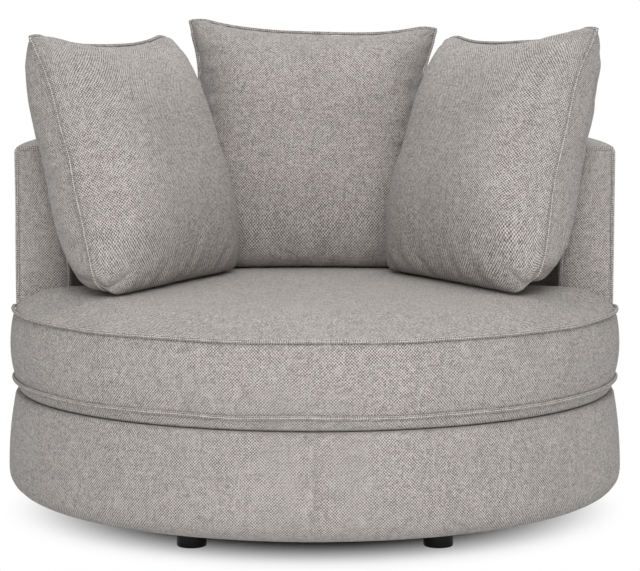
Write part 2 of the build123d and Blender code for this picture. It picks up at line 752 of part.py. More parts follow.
keep(seat_zip_slider.part, "seat_zip_slider")


# Loose pillows

CHAIN_NEAR = WELT_RADIUS + 2 * FIT
CHAIN_FAR = CHAIN_NEAR + ZIP_CHAIN_WIDTH
CHAIN_HIGH = -ZIP_CHAIN_THICKNESS
CHAIN_LOW = CHAIN_HIGH - ZIP_CHAIN_THICKNESS
SLIDER_LOW = CHAIN_LOW - FIT - SLIDER_WALL
SLIDER_FAR = CHAIN_FAR + FIT + SLIDER_WALL


def underside_points(plane):
    """Points along the underside of a pillow's bottom welt and of its zip slider."""
    half = PILLOW_WIDTH / 2 - PILLOW_CORNER
    spots = [
        (-WELT_RADIUS - FIT + WELT_RADIUS * sin(radians(turn)), WELT_RADIUS * cos(radians(turn)))
        for turn in WELT_UNDERSIDE
    ]
    spots.append((SLIDER_LOW, -SLIDER_FAR))
    return [
        plane.from_local_coords(Vector(half * share / REST_SPOTS, depth, out))
        for share in range(-REST_SPOTS, REST_SPOTS + 1)
        for depth, out in spots
    ]


def pillow_plane(facing, shift, lean, roll, room):
    """Plane of a pillow's seam, with its origin in the middle of the bottom seam.

    The pillow leans towards the top of the wall and its welt rests on the cushion.
    """
    outward = Vector(cos(radians(facing)), sin(radians(facing)), 0)
    along = Vector(outward.Y, -outward.X, 0)
    up = outward * sin(radians(lean)) + Vector(0, 0, cos(radians(lean)))
    normal = outward * -cos(radians(lean)) + Vector(0, 0, sin(radians(lean)))
    x_dir = along * cos(radians(roll)) + up * sin(radians(roll))
    rim = sqrt(room_radius(WALL_TOP) ** 2 - shift**2)
    lean_run = (WALL_TOP - UPPER_SEAM - SEAT_CROWN) * tan(radians(lean))
    stand = rim - PILLOW_THICKNESS / 2 / cos(radians(lean)) - room - lean_run
    origin = outward * stand + along * shift
    low = underside_points(Plane(origin=origin, x_dir=x_dir, z_dir=normal))
    lift = max(dome_height(hypot(point.X, point.Y)) - point.Z for point in low)
    return Plane(origin=origin + Vector(0, 0, lift + FIT), x_dir=x_dir, z_dir=normal)


def pillow_section(plane, inset, step, rounding):
    """Face of a pillow's outline: straight bottom, drawn-in sides and top, round corners."""
    half = PILLOW_WIDTH / 2 - inset
    bottom = inset
    top = PILLOW_HEIGHT - inset
    ease = 1 - SIDE_EASE * step
    middle = (bottom + top) / 2
    side = half - PILLOW_SIDE_DRAW * ease
    with BuildSketch(plane) as section:
        with BuildLine():
            Line((-half, bottom), (half, bottom))
            ThreePointArc((half, bottom), (side, middle), (half, top))
            ThreePointArc((half, top), (0, top - PILLOW_TOP_DRAW * ease), (-half, top))
            ThreePointArc((-half, top), (-side, middle), (-half, bottom))
        make_face()
        fillet(section.vertices(), rounding)
    return section.sketch


def pillow_half(plane, inset):
    """Swelling half of a pillow on one side of its seam, drawn in all round."""
    sections = [
        pillow_section(
            plane.offset((PILLOW_THICKNESS / 2 - inset) * swell(step)),
            inset + PILLOW_REACH * step,
            step,
            PILLOW_CORNER + CORNER_EASE * PILLOW_REACH * step,
        )
        for step in SWELL_STEPS
    ]
    with BuildPart() as half:
        loft(sections)
    return half.part


def pillow_panel(plane):
    """Fabric of one side of a pillow."""
    with BuildPart() as panel:
        add(pillow_half(plane, 0))
        add(pillow_half(plane, FABRIC), mode=Mode.SUBTRACT)
    return panel.part


for pillow_name, pillow_place in PILLOWS.items():
    front = pillow_plane(**pillow_place)
    back = Plane(origin=front.origin, x_dir=-front.x_dir, z_dir=-front.z_dir)

    keep(pillow_panel(front), f"pillow_{pillow_name}_front_panel")
    keep(pillow_panel(back), f"pillow_{pillow_name}_back_panel")

    with BuildPart() as pillow_insert:
        add(pillow_half(front, FABRIC + FILL_FIT))
        add(pillow_half(back, FABRIC + FILL_FIT))
    keep(pillow_insert.part, f"pillow_{pillow_name}_insert")

    seam = offset(pillow_section(front, 0, 0, PILLOW_CORNER), amount=WELT_RADIUS + FIT)
    around = seam.face().outer_wire()
    with BuildPart() as pillow_welt:
        with BuildSketch(Plane(origin=around @ 0, z_dir=around % 0)):
            Circle(WELT_RADIUS)
        sweep(path=around)
    keep(pillow_welt.part, f"pillow_{pillow_name}_welt")

    with BuildPart(front) as pillow_zip_chain:
        with Locations((0, (CHAIN_HIGH + CHAIN_LOW) / 2, -(CHAIN_NEAR + CHAIN_FAR) / 2)):
            Box(PILLOW_ZIP, ZIP_CHAIN_THICKNESS, ZIP_CHAIN_WIDTH)
    keep(pillow_zip_chain.part, f"pillow_{pillow_name}_zip_chain")

    closed = (PILLOW_ZIP - SLIDER_LENGTH) / 2
    with BuildPart(front) as pillow_zip_slider:
        with Locations((closed, SLIDER_LOW, -SLIDER_FAR)):
            Box(
                SLIDER_LENGTH,
                SLIDER_WALL,
                SLIDER_FAR - CHAIN_NEAR - FIT,
                align=(Align.CENTER, Align.MIN, Align.MIN),
            )
            Box(
                SLIDER_LENGTH,
                CHAIN_HIGH - SLIDER_LOW,
                SLIDER_WALL,
                align=(Align.CENTER, Align.MIN, Align.MIN),
            )
        with Locations((closed, SLIDER_LOW, -CHAIN_FAR)):
            Box(PULL_LENGTH, PULL_THICKNESS, ZIP_CHAIN_WIDTH - FIT, align=(Align.MAX, Align.MIN, Align.MIN))
    keep(pillow_zip_slider.part, f"pillow_{pillow_name}_zip_slider")
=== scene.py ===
"""Round lounge chair: covers, cushions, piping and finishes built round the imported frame."""

import json
import logging
from dataclasses import dataclass, field
from enum import Enum
from math import atan2, cos, pi, radians, sin, sqrt, tan
from typing import Callable

import bpy
import numpy as np
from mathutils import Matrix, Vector
from mathutils.bvhtree import BVHTree

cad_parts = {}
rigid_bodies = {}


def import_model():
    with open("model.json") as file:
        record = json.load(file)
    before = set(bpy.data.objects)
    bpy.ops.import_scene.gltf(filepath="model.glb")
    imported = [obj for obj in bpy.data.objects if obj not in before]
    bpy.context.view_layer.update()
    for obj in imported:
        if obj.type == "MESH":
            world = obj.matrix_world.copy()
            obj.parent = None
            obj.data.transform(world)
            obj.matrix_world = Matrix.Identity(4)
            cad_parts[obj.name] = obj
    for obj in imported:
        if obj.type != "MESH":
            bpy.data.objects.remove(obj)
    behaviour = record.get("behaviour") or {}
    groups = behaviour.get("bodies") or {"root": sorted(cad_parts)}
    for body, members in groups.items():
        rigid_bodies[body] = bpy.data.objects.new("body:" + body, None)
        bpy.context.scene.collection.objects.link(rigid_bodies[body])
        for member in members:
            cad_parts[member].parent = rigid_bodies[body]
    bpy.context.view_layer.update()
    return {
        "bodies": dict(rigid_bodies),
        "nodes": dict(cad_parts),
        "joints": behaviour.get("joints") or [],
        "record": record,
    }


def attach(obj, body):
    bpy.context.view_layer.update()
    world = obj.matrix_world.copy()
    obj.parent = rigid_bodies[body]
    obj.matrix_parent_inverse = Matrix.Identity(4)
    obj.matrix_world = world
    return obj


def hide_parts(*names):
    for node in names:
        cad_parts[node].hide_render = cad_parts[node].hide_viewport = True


LOG = logging.getLogger("lounge_chair")
Colour = tuple[float, float, float]
Triple = tuple[float, float, float]
Surface = Callable[[np.ndarray, np.ndarray], np.ndarray]
# Noise is flat along its own lattice, so patterns start off it where a piece's coordinates are 0
PATTERN_START = (0.37, 0.71, 0.43)
# How many points are measured against a line at a time
BLOCK = 2000


class Grain(Enum):
    """Where a cloth takes its thread directions from."""

    PANEL = "UV"
    FLAT = "Object"


class Edge(Enum):
    """The chair's two arms, each with the sign of its x."""

    LEFT = -1
    RIGHT = 1


class Face(Enum):
    """The padded wall's two covers."""

    OUTER = 0
    INNER = 1


# Bench: selecting, laying out grids, reading and moving points


def deselect_all() -> None:
    """Clear the selection, so that the next operator touches only its own piece."""
    if bpy.context.object and bpy.context.object.mode != "OBJECT":
        bpy.ops.object.mode_set(mode="OBJECT")
    bpy.ops.object.select_all(action="DESELECT")


def pick(piece: bpy.types.Object) -> None:
    """Make a piece the only selected and active one."""
    deselect_all()
    piece.select_set(True)
    bpy.context.view_layer.objects.active = piece


def apply_modifiers(piece: bpy.types.Object) -> None:
    """Apply every modifier of a piece in order."""
    pick(piece)
    for modifier in list(piece.modifiers):
        bpy.ops.object.modifier_apply(modifier=modifier.name)


def points_of(piece: bpy.types.Object) -> np.ndarray:
    """Read a piece's vertices as rows of x, y, z."""
    flat = np.empty(len(piece.data.vertices) * 3)
    piece.data.vertices.foreach_get("co", flat)
    return flat.reshape(-1, 3)


def normals_of(piece: bpy.types.Object) -> np.ndarray:
    """Read a piece's vertex normals as rows of x, y, z."""
    flat = np.empty(len(piece.data.vertices) * 3)
    piece.data.vertex_normals.foreach_get("vector", flat)
    return flat.reshape(-1, 3)


def corners_of(piece: bpy.types.Object) -> np.ndarray:
    """Read which vertex stands at each corner of a piece's faces."""
    corners = np.empty(len(piece.data.loops), dtype=np.int32)
    piece.data.loops.foreach_get("vertex_index", corners)
    return corners


def lay_cloth(piece: bpy.types.Object, cloth: np.ndarray) -> None:
    """Write a piece's UV map in metres of cloth, corner by corner."""
    layer = piece.data.uv_layers.active or piece.data.uv_layers.new(name="cloth")
    layer.data.foreach_set("uv", cloth.ravel())


def move_points(piece: bpy.types.Object, points: np.ndarray) -> None:
    """Put a piece's vertices at new places."""
    piece.data.vertices.foreach_set("co", points.ravel())
    piece.data.update()


def edit(piece: bpy.types.Object, *steps: Callable[[], object]) -> None:
    """Run mesh operators on all of a piece in edit mode.

    Args:
        piece: the mesh object to work on.
        steps: calls that each run one operator.
    """
    pick(piece)
    bpy.ops.object.mode_set(mode="EDIT")
    bpy.ops.mesh.select_all(action="SELECT")
    for step in steps:
        step()
    bpy.ops.object.mode_set(mode="OBJECT")


def smooth(piece: bpy.types.Object, crease: float = 180.0) -> None:
    """Shade a piece smooth, sharp only past an angle in degrees."""
    pick(piece)
    bpy.ops.object.shade_smooth_by_angle(angle=radians(crease))


def subdivide(piece: bpy.types.Object) -> None:
    """Round a piece off with one applied level of subdivision."""
    rounding = piece.modifiers.new("rounding", "SUBSURF")
    rounding.levels = 1
    rounding.render_levels = 1
    apply_modifiers(piece)


def relax(piece: bpy.types.Object, rounds: int) -> None:
    """Even a piece's surface out by rounds of smoothing."""
    evening = piece.modifiers.new("evening", "SMOOTH")
    evening.factor = 0.5
    evening.iterations = rounds
    apply_modifiers(piece)


def thicken(piece: bpy.types.Object, cloth: float) -> None:
    """Give a single layer of cloth its thickness, inwards."""
    layer = piece.modifiers.new("cloth", "SOLIDIFY")
    layer.thickness = cloth
    layer.offset = -1.0
    apply_modifiers(piece)


def run_length(points: np.ndarray) -> np.ndarray:
    """Length run so far at each point of a line."""
    steps = np.linalg.norm(np.diff(points, axis=0), axis=1)
    return np.concatenate(([0.0], np.cumsum(steps)))


def even_points(points: np.ndarray, count: int) -> np.ndarray:
    """Place points evenly along a line.

    Args:
        points: rows of coordinates of the line's own points.
        count: how many points to place.

    Returns:
        Rows of coordinates, the first and last at the line's ends.
    """
    run = run_length(points)
    spots = np.linspace(0.0, run[-1], count)
    return np.stack([np.interp(spots, run, column) for column in points.T], axis=1)


def cloth_grid(name: str, columns: int, rows: int, surface: Surface) -> bpy.types.Object:
    """Add a grid and lay it over a surface, with a UV map in metres of cloth.

    Args:
        name: the new piece's name.
        columns: faces across.
        rows: faces up.
        surface: gives points for shares across and up, from 0 to 1.

    Returns:
        The grid as a mesh object at the origin.
    """
    deselect_all()
    bpy.ops.mesh.primitive_grid_add(x_subdivisions=columns, y_subdivisions=rows, size=2.0)
    piece = bpy.context.object
    piece.name = name
    piece.data.name = name
    share = np.clip(points_of(piece)[:, :2] * 0.5 + 0.5, 0.0, 1.0)
    move_points(piece, surface(share[:, 0], share[:, 1]))
    line = np.linspace(0.0, 1.0, 301)
    half = np.full_like(line, 0.5)
    across = run_length(surface(line, half))
    up = run_length(surface(half, line))
    cloth = np.stack(
        [np.interp(share[:, 0], line, across), np.interp(share[:, 1], line, up)], axis=1
    )
    lay_cloth(piece, cloth[corners_of(piece)])
    return piece


def ripple(across: np.ndarray, up: np.ndarray, pitch: float, seed: int) -> np.ndarray:
    """Smooth unevenness of stuffed cloth.

    Args:
        across: places across the cloth, in metres.
        up: places up the cloth, in metres.
        pitch: length of a typical wave, in metres.
        seed: picks one set of waves.

    Returns:
        Heights of about -1 to 1.
    """
    draw = np.random.default_rng(seed)
    waves = 6
    total = np.zeros_like(across)
    for _ in range(waves):
        turn = draw.uniform(0.0, 2 * pi)
        length = pitch * draw.uniform(0.7, 1.6)
        along = across * cos(turn) + up * sin(turn)
        total += np.sin(2 * pi * along / length + draw.uniform(0.0, 2 * pi))
    return total / sqrt(2 * waves)


def swell(share: np.ndarray) -> np.ndarray:
    """Quarter ellipse, from 0 at a rim to 1 at a crown."""
    return np.sqrt(1.0 - (1.0 - np.clip(share, 0.0, 1.0)) ** 2)


def fall(distance: np.ndarray, reach: float) -> np.ndarray:
    """Bell curve that fades over a reach."""
    return np.exp(-((distance / reach) ** 2))


def ramp(distance: np.ndarray, reach: float) -> np.ndarray:
    """Straight rise from 0 to 1 over a reach."""
    return np.clip(distance / reach, 0.0, 1.0)


@dataclass
class Stuffing:
    """Cloth simulation that fills a sewn cover and lets its skin pucker."""

    pressure: float
    slack: float
    cap: float
    bending: float
    frames: int

    def fill(self, piece: bpy.types.Object, sewn: np.ndarray, give: np.ndarray) -> None:
        """Swell a closed cover, with its seams held where they are.

        Args:
            piece: the cover, a closed mesh.
            sewn: true for each vertex that a seam holds.
            give: share of the swelling that each vertex takes.
        """
        start = points_of(piece)
        outward = normals_of(piece)
        seams = piece.vertex_groups.new(name="seams")
        seams.add([int(index) for index in np.flatnonzero(sewn)], 1.0, "REPLACE")
        cloth = piece.modifiers.new("stuffing", "CLOTH")
        settings = cloth.settings
        settings.quality = 5
        settings.mass = 0.3
        settings.tension_stiffness = 20.0
        settings.compression_stiffness = 12.0
        settings.shear_stiffness = 6.0
        settings.bending_stiffness = self.bending
        settings.use_pressure = True
        settings.uniform_pressure_force = self.pressure
        settings.shrink_min = -self.slack
        settings.vertex_group_mass = seams.name
        settings.effector_weights.gravity = 0.0
        cloth.collision_settings.use_collision = False
        cloth.point_cache.frame_start = 1
        cloth.point_cache.frame_end = self.frames
        for frame in range(1, self.frames + 1):
            bpy.context.scene.frame_set(frame)
        apply_modifiers(piece)
        bpy.context.scene.frame_set(1)
        out = np.einsum("ij,ij->i", points_of(piece) - start, outward)
        LOG.info(
            "%s swells %.1f mm at most, half of it under %.1f",
            piece.name, 1000 * out.max(), 1000 * np.median(out),
        )
        swelling = self.cap * np.tanh(out / self.cap) * give
        move_points(piece, start + outward * swelling[:, None])
        piece.vertex_groups.clear()


# Finishes


class Nodes:
    """Small builder of a material's node tree."""

    def __init__(self, name: str) -> None:
        """Start a material with a bare surface shader.

        Args:
            name: the material's name.
        """
        self.material = bpy.data.materials.new(name)
        self.material.use_nodes = True
        self.tree = self.material.node_tree
        self.shader = self.tree.nodes["Principled BSDF"]

    def add(self, kind: str, inputs: dict | None = None, **settings: object) -> bpy.types.Node:
        """Add a node, set its options and feed its sockets.

        Args:
            kind: the node's type, without the leading ShaderNode.
            inputs: socket name or number to a value or to another node's socket.
            settings: the node's own options.

        Returns:
            The new node.
        """
        node = self.tree.nodes.new("ShaderNode" + kind)
        for option, value in settings.items():
            setattr(node, option, value)
        for socket, value in (inputs or {}).items():
            if isinstance(value, bpy.types.NodeSocket):
                self.tree.links.new(value, node.inputs[socket])
            else:
                node.inputs[socket].default_value = value
        return node

    def maths(self, operation: str, first: object, second: object = 0.0) -> bpy.types.NodeSocket:
        """Work out one sum on two values or sockets."""
        return self.add("Math", {0: first, 1: second}, operation=operation).outputs[0]

    def place(self, grain: Grain, scale: Triple, turn: float = 0.0) -> bpy.types.NodeSocket:
        """Give coordinates on the piece, scaled and turned about Z in degrees."""
        source = self.add("TexCoord").outputs[grain.value]
        mapping = self.add("Mapping", {"Vector": source, "Scale": scale, "Location": PATTERN_START})
        mapping.inputs["Rotation"].default_value = (0.0, 0.0, radians(turn))
        return mapping.outputs[0]

    def noise(self, vector: bpy.types.NodeSocket, scale: float, detail: float) -> bpy.types.NodeSocket:
        """Give soft noise from 0 to 1."""
        return self.add("TexNoise", {"Vector": vector, "Scale": scale, "Detail": detail}).outputs[0]

    def blend(self, share: object, low: Colour, high: Colour) -> bpy.types.NodeSocket:
        """Give a colour between two, by a share."""
        mix = self.add("Mix", data_type="RGBA")
        for socket, value in ((0, share), (6, (*low, 1.0)), (7, (*high, 1.0))):
            if isinstance(value, bpy.types.NodeSocket):
                self.tree.links.new(value, mix.inputs[socket])
            else:
                mix.inputs[socket].default_value = value
        return mix.outputs[2]

    def finish(
        self,
        colour: bpy.types.NodeSocket,
        height: bpy.types.NodeSocket,
        depth: float,
        relief: float,
        **sockets: object,
    ) -> bpy.types.Material:
        """Join colour and relief to the surface shader.

        Args:
            colour: the colour's socket.
            height: the relief's socket, from 0 to 1.
            depth: the relief's depth in metres.
            relief: the relief's strength.
            sockets: values for the shader's own sockets, with _ for a space.

        Returns:
            The finished material.
        """
        bump = self.add("Bump", {"Height": height, "Strength": relief, "Distance": depth})
        self.tree.links.new(bump.outputs[0], self.shader.inputs["Normal"])
        self.tree.links.new(colour, self.shader.inputs["Base Color"])
        for socket, value in sockets.items():
            target = self.shader.inputs[socket.replace("_", " ")]
            if isinstance(value, bpy.types.NodeSocket):
                self.tree.links.new(value, target)
            else:
                target.default_value = value
        return self.material


@dataclass(frozen=True)
class WovenCloth:
    """Heathered hopsack weave: pairs of pale and dark yarns over and under each other, with painted shade
    in the dips between yarns.
    """

    name: str
    pale: Colour
    dark: Colour
    grain: Grain = Grain.PANEL
    yarn: float = 0.0014
    wander: float = 1.2
    turn: float = 0.0
    wander_scale: float = 80.0
    slub_along: tuple[float, float] = (34.0, 40.0)
    slub_across: float = 330.0
    patch_scale: float = 9.0
    over_weight: float = 0.76
    tone_weight: float = 0.72
    # painted shade: share of the colour that follows the yarn height, darker in the dips between yarns
    painted_dip_shade_weight: float = 0.24
    slub_weight: float = 0.92
    patch_weight: float = 0.14
    darkening: float = 0.92
    depth: float = 0.0007
    relief: float = 0.55

    def material(self) -> bpy.types.Material:
        """Weave the cloth.

        Returns:
            The cloth's material.
        """
        n = Nodes(self.name)
        pitch = 1.0 / self.yarn
        thread = n.place(self.grain, (pitch, pitch, pitch), self.turn)
        loose = n.place(self.grain, (self.wander_scale,) * 3)
        wander = n.add("TexNoise", {"Vector": loose, "Scale": 1.0})
        bent = {0: wander.outputs["Color"], 1: (self.wander,) * 3, 2: thread}
        parts = n.add("SeparateXYZ", {0: n.add("VectorMath", bent, operation="MULTIPLY_ADD").outputs[0]})
        across, up = parts.outputs[0], parts.outputs[1]
        pair_across = n.maths("FLOOR", n.maths("DIVIDE", across, 2.0))
        pair_up = n.maths("FLOOR", n.maths("DIVIDE", up, 2.0))
        over = n.maths("FLOORED_MODULO", n.maths("ADD", pair_across, pair_up), 2.0)
        warp = self.yarn_round(n, across, up)
        weft = self.yarn_round(n, up, across)
        height = self.choose(n, over, warp, weft)
        warp_tone = self.yarn_tone(n, n.maths("FLOOR", across), pair_up)
        weft_tone = self.yarn_tone(n, pair_across, n.maths("FLOOR", up))
        tone = self.choose(n, over, warp_tone, weft_tone)
        fine = self.slub_across
        slubs_across = n.noise(n.place(self.grain, (self.slub_along[0], fine, fine), self.turn), 1.0, 2.0)
        slubs_up = n.noise(n.place(self.grain, (fine, self.slub_along[1], fine), self.turn), 1.0, 2.0)
        slubs = self.choose(n, 0.5, slubs_across, slubs_up)
        patches = n.noise(n.place(self.grain, (self.patch_scale,) * 3, self.turn), 1.0, 3.0)
        share = n.maths("MULTIPLY", over, self.over_weight)
        share = self.mixed(n, share, tone, self.tone_weight)
        # painted shade: the yarn height lightens the colour on the crests and darkens it in the dips
        # between yarns
        share = self.mixed(n, share, height, self.painted_dip_shade_weight)
        share = self.mixed(n, share, slubs, self.slub_weight)
        share = self.mixed(n, share, patches, self.patch_weight)
        share = n.maths("SUBTRACT", share, self.darkening)
        share.node.use_clamp = True
        colour = n.blend(share, self.dark, self.pale)
        return n.finish(
            colour,
            height,
            self.depth,
            self.relief,
            Roughness=0.92,
            Specular_IOR_Level=0.18,
            Sheen_Weight=0.12,
            Sheen_Roughness=0.5,
        )

    @staticmethod
    def yarn_round(n: Nodes, side: object, along: object) -> bpy.types.NodeSocket:
        """Give the round back of a yarn that dips where it goes under its neighbours."""
        belly = n.maths("PINGPONG", side, 0.5)
        float_line = n.maths("PINGPONG", along, 1.0)
        belly = n.maths("SINE", n.maths("MULTIPLY", belly, pi))
        dip = n.maths("MULTIPLY_ADD", float_line, 0.5)
        dip.node.inputs[2].default_value = 0.5
        return n.maths("MULTIPLY", belly, dip)

    @staticmethod
    def yarn_tone(n: Nodes, column: object, row: object) -> bpy.types.NodeSocket:
        """Give each stretch of yarn between two dips a tone of its own."""
        cell = n.add("CombineXYZ", {0: column, 1: row})
        return n.add("TexWhiteNoise", {"Vector": cell.outputs[0]}, noise_dimensions="2D").outputs[0]

    @staticmethod
    def choose(n: Nodes, share: object, first: object, second: object) -> bpy.types.NodeSocket:
        """Blend two values by a share."""
        return n.add("Mix", {0: share, 2: first, 3: second}, data_type="FLOAT").outputs[0]

    @staticmethod
    def mixed(n: Nodes, base: object, extra: object, weight: float) -> bpy.types.NodeSocket:
        """Add a weighted value to another."""
        total = n.maths("MULTIPLY_ADD", extra, weight)
        n.tree.links.new(base, total.node.inputs[2])
        return total


@dataclass(frozen=True)
class Plywood:
    """Raw plywood: long grain on its faces and layers on its edges."""

    name: str = "raw_plywood"
    pale: Colour = (0.62, 0.45, 0.27)
    dark: Colour = (0.42, 0.27, 0.14)
    layer: float = 0.0015
    layer_share: float = 0.3
    grain: Triple = (60.0, 4.0, 60.0)
    depth: float = 0.0006
    relief: float = 0.3
    roughness: float = 0.7

    def material(self) -> bpy.types.Material:
        """Grain the board.

        Returns:
            The board's material.
        """
        n = Nodes(self.name)
        grain = n.noise(n.place(Grain.FLAT, self.grain), 1.0, 5.0)
        layers = n.add("SeparateXYZ", {0: n.place(Grain.FLAT, (1.0, 1.0, 1.0 / self.layer))})
        layers = n.maths("PINGPONG", layers.outputs[2], 1.0)
        share = n.add("Mix", {0: self.layer_share, 2: grain, 3: layers}, data_type="FLOAT").outputs[0]
        colour = n.blend(share, self.dark, self.pale)
        return n.finish(colour, grain, self.depth, self.relief, Roughness=self.roughness)


@dataclass(frozen=True)
class Speckled:
    """Finish of one colour range over fine noise: board, foam, dust cloth or moulded plastic."""

    name: str
    low: Colour
    high: Colour
    scale: float
    depth: float
    relief: float
    roughness: float
    metallic: float = 0.0
    coat: float = 0.0
    gloss: float = 0.5
    stretch: Triple = (1.0, 1.0, 1.0)
    broadness: float = 12.0
    broad_share: float = 0.4
    spread: tuple[float, float] = (0.3, 0.7)
    unevenness: float = 0.05

    def material(self) -> bpy.types.Material:
        """Mix the finish.

        Returns:
            The finish's material.
        """
        n = Nodes(self.name)
        where = n.place(Grain.FLAT, self.stretch)
        fine = n.noise(where, self.scale, 4.0)
        broad = n.noise(where, self.scale / self.broadness, 2.0)
        share = n.add("Mix", {0: self.broad_share, 2: fine, 3: broad}, data_type="FLOAT").outputs[0]
        spread = n.add("MapRange", {0: share, 1: self.spread[0], 2: self.spread[1]}).outputs[0]
        least, most = self.roughness - self.unevenness, self.roughness + self.unevenness
        rough = n.add("MapRange", {0: fine, 3: least, 4: most})
        return n.finish(
            n.blend(spread, self.low, self.high),
            fine,
            self.depth,
            self.relief,
            Roughness=rough.outputs[0],
            Metallic=self.metallic,
            Coat_Weight=self.coat,
            Specular_IOR_Level=self.gloss,
        )


PALE_YARN: Colour = (0.65, 0.612, 0.585)
DARK_YARN: Colour = (0.098, 0.089, 0.084)


class Finishes:
    """All finishes of the chair, each made once."""

    def __init__(self) -> None:
        """Make every material."""
        self.cloth = WovenCloth("heathered_cloth", PALE_YARN, DARK_YARN).material()
        self.piping = WovenCloth("piping_cloth", PALE_YARN, DARK_YARN, turn=45.0).material()
        self.by_slot = {
            "upholstery": WovenCloth("deck_cloth", PALE_YARN, DARK_YARN, Grain.FLAT).material(),
            "plywood": Plywood().material(),
            "fibreboard": Speckled(
                "pressed_board", (0.19, 0.12, 0.07), (0.31, 0.21, 0.13), 900.0, 0.0003, 0.4, 0.85
            ).material(),
            "foam": Speckled(
                "cut_foam", (0.70, 0.64, 0.46), (0.82, 0.77, 0.60), 700.0, 0.0008, 0.6, 0.95
            ).material(),
            "pillow_fill": Speckled(
                "fill_case", (0.78, 0.77, 0.75), (0.88, 0.87, 0.85), 400.0, 0.0006, 0.5, 0.95
            ).material(),
            "lining": Speckled(
                "dust_cloth", (0.012, 0.012, 0.013), (0.035, 0.035, 0.036), 1200.0, 0.0004, 0.6, 0.95
            ).material(),
            "foot_plastic": Speckled(
                "gloss_black_plastic", (0.006, 0.006, 0.006), (0.012, 0.012, 0.012),
                300.0, 0.0001, 0.05, 0.24, coat=0.08, gloss=0.12,
            ).material(),
            "steel": Speckled(
                "plated_steel", (0.42, 0.43, 0.44), (0.60, 0.61, 0.62), 500.0, 0.0001, 0.2, 0.36, 1.0
            ).material(),
            "clip_plastic": Speckled(
                "moulded_clip", (0.03, 0.03, 0.03), (0.05, 0.05, 0.05), 800.0, 0.0002, 0.3, 0.5
            ).material(),
            "zip_plastic": Speckled(
                "zip_teeth", (0.05, 0.048, 0.045), (0.20, 0.19, 0.18), 180.0, 0.0015, 1.0, 0.5,
                stretch=(3.0, 3.0, 3.0),
            ).material(),
        }

    def dress_carried_nodes(self, frame: dict) -> None:
        """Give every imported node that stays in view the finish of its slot.
        """
        for part in frame["record"]["subparts"]:
            node = frame["nodes"][part["node"]]
            node.data.materials.clear()
            node.data.materials.append(self.by_slot.get(part["material_slot"], self.cloth))


def settle(
    piece: bpy.types.Object, body: str, slot: str, finish: bpy.types.Material, *nodes: str
) -> None:
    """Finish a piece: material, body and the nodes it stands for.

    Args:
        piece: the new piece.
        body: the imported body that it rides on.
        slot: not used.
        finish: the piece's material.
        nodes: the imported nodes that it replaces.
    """
    piece.data.materials.clear()
    piece.data.materials.append(finish)
    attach(piece, body)
    if nodes:
        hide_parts(*nodes)
    LOG.info("%s: %d faces on %s", piece.name, len(piece.data.polygons), body)


def cord_along(name: str, lines: list[np.ndarray], radius: float, closed: bool) -> bpy.types.Object:
    """Lay a piping cord along lines and make it a mesh, with a UV map in metres of cloth.

    Args:
        name: the new piece's name.
        lines: points of each line.
        radius: the cord's radius.
        closed: whether each line runs back into its start.

    Returns:
        The cord as a mesh object at the origin.
    """
    curve = bpy.data.curves.new(name, "CURVE")
    curve.dimensions = "3D"
    curve.bevel_depth = radius
    curve.bevel_resolution = 3
    curve.use_fill_caps = not closed
    for line in lines:
        spline = curve.splines.new("POLY")
        spline.points.add(len(line) - 1)
        flat = np.concatenate([line, np.ones((len(line), 1))], axis=1)
        spline.points.foreach_set("co", flat.ravel())
        spline.use_cyclic_u = closed
    piece = bpy.data.objects.new(name, curve)
    bpy.context.scene.collection.objects.link(piece)
    pick(piece)
    bpy.ops.object.convert(target="MESH")
    piece = bpy.context.object
    layer = piece.data.uv_layers.active
    if layer:
        cloth = np.empty(len(piece.data.loops) * 2)
        layer.data.foreach_get("uv", cloth)
        cloth = cloth.reshape(-1, 2) * (run_length(lines[0])[-1], 2 * pi * radius)
        layer.data.foreach_set("uv", cloth.ravel())
    edit(piece, lambda: bpy.ops.mesh.remove_doubles(threshold=1e-6))
    smooth(piece, 60.0)
    return piece


# Drum base


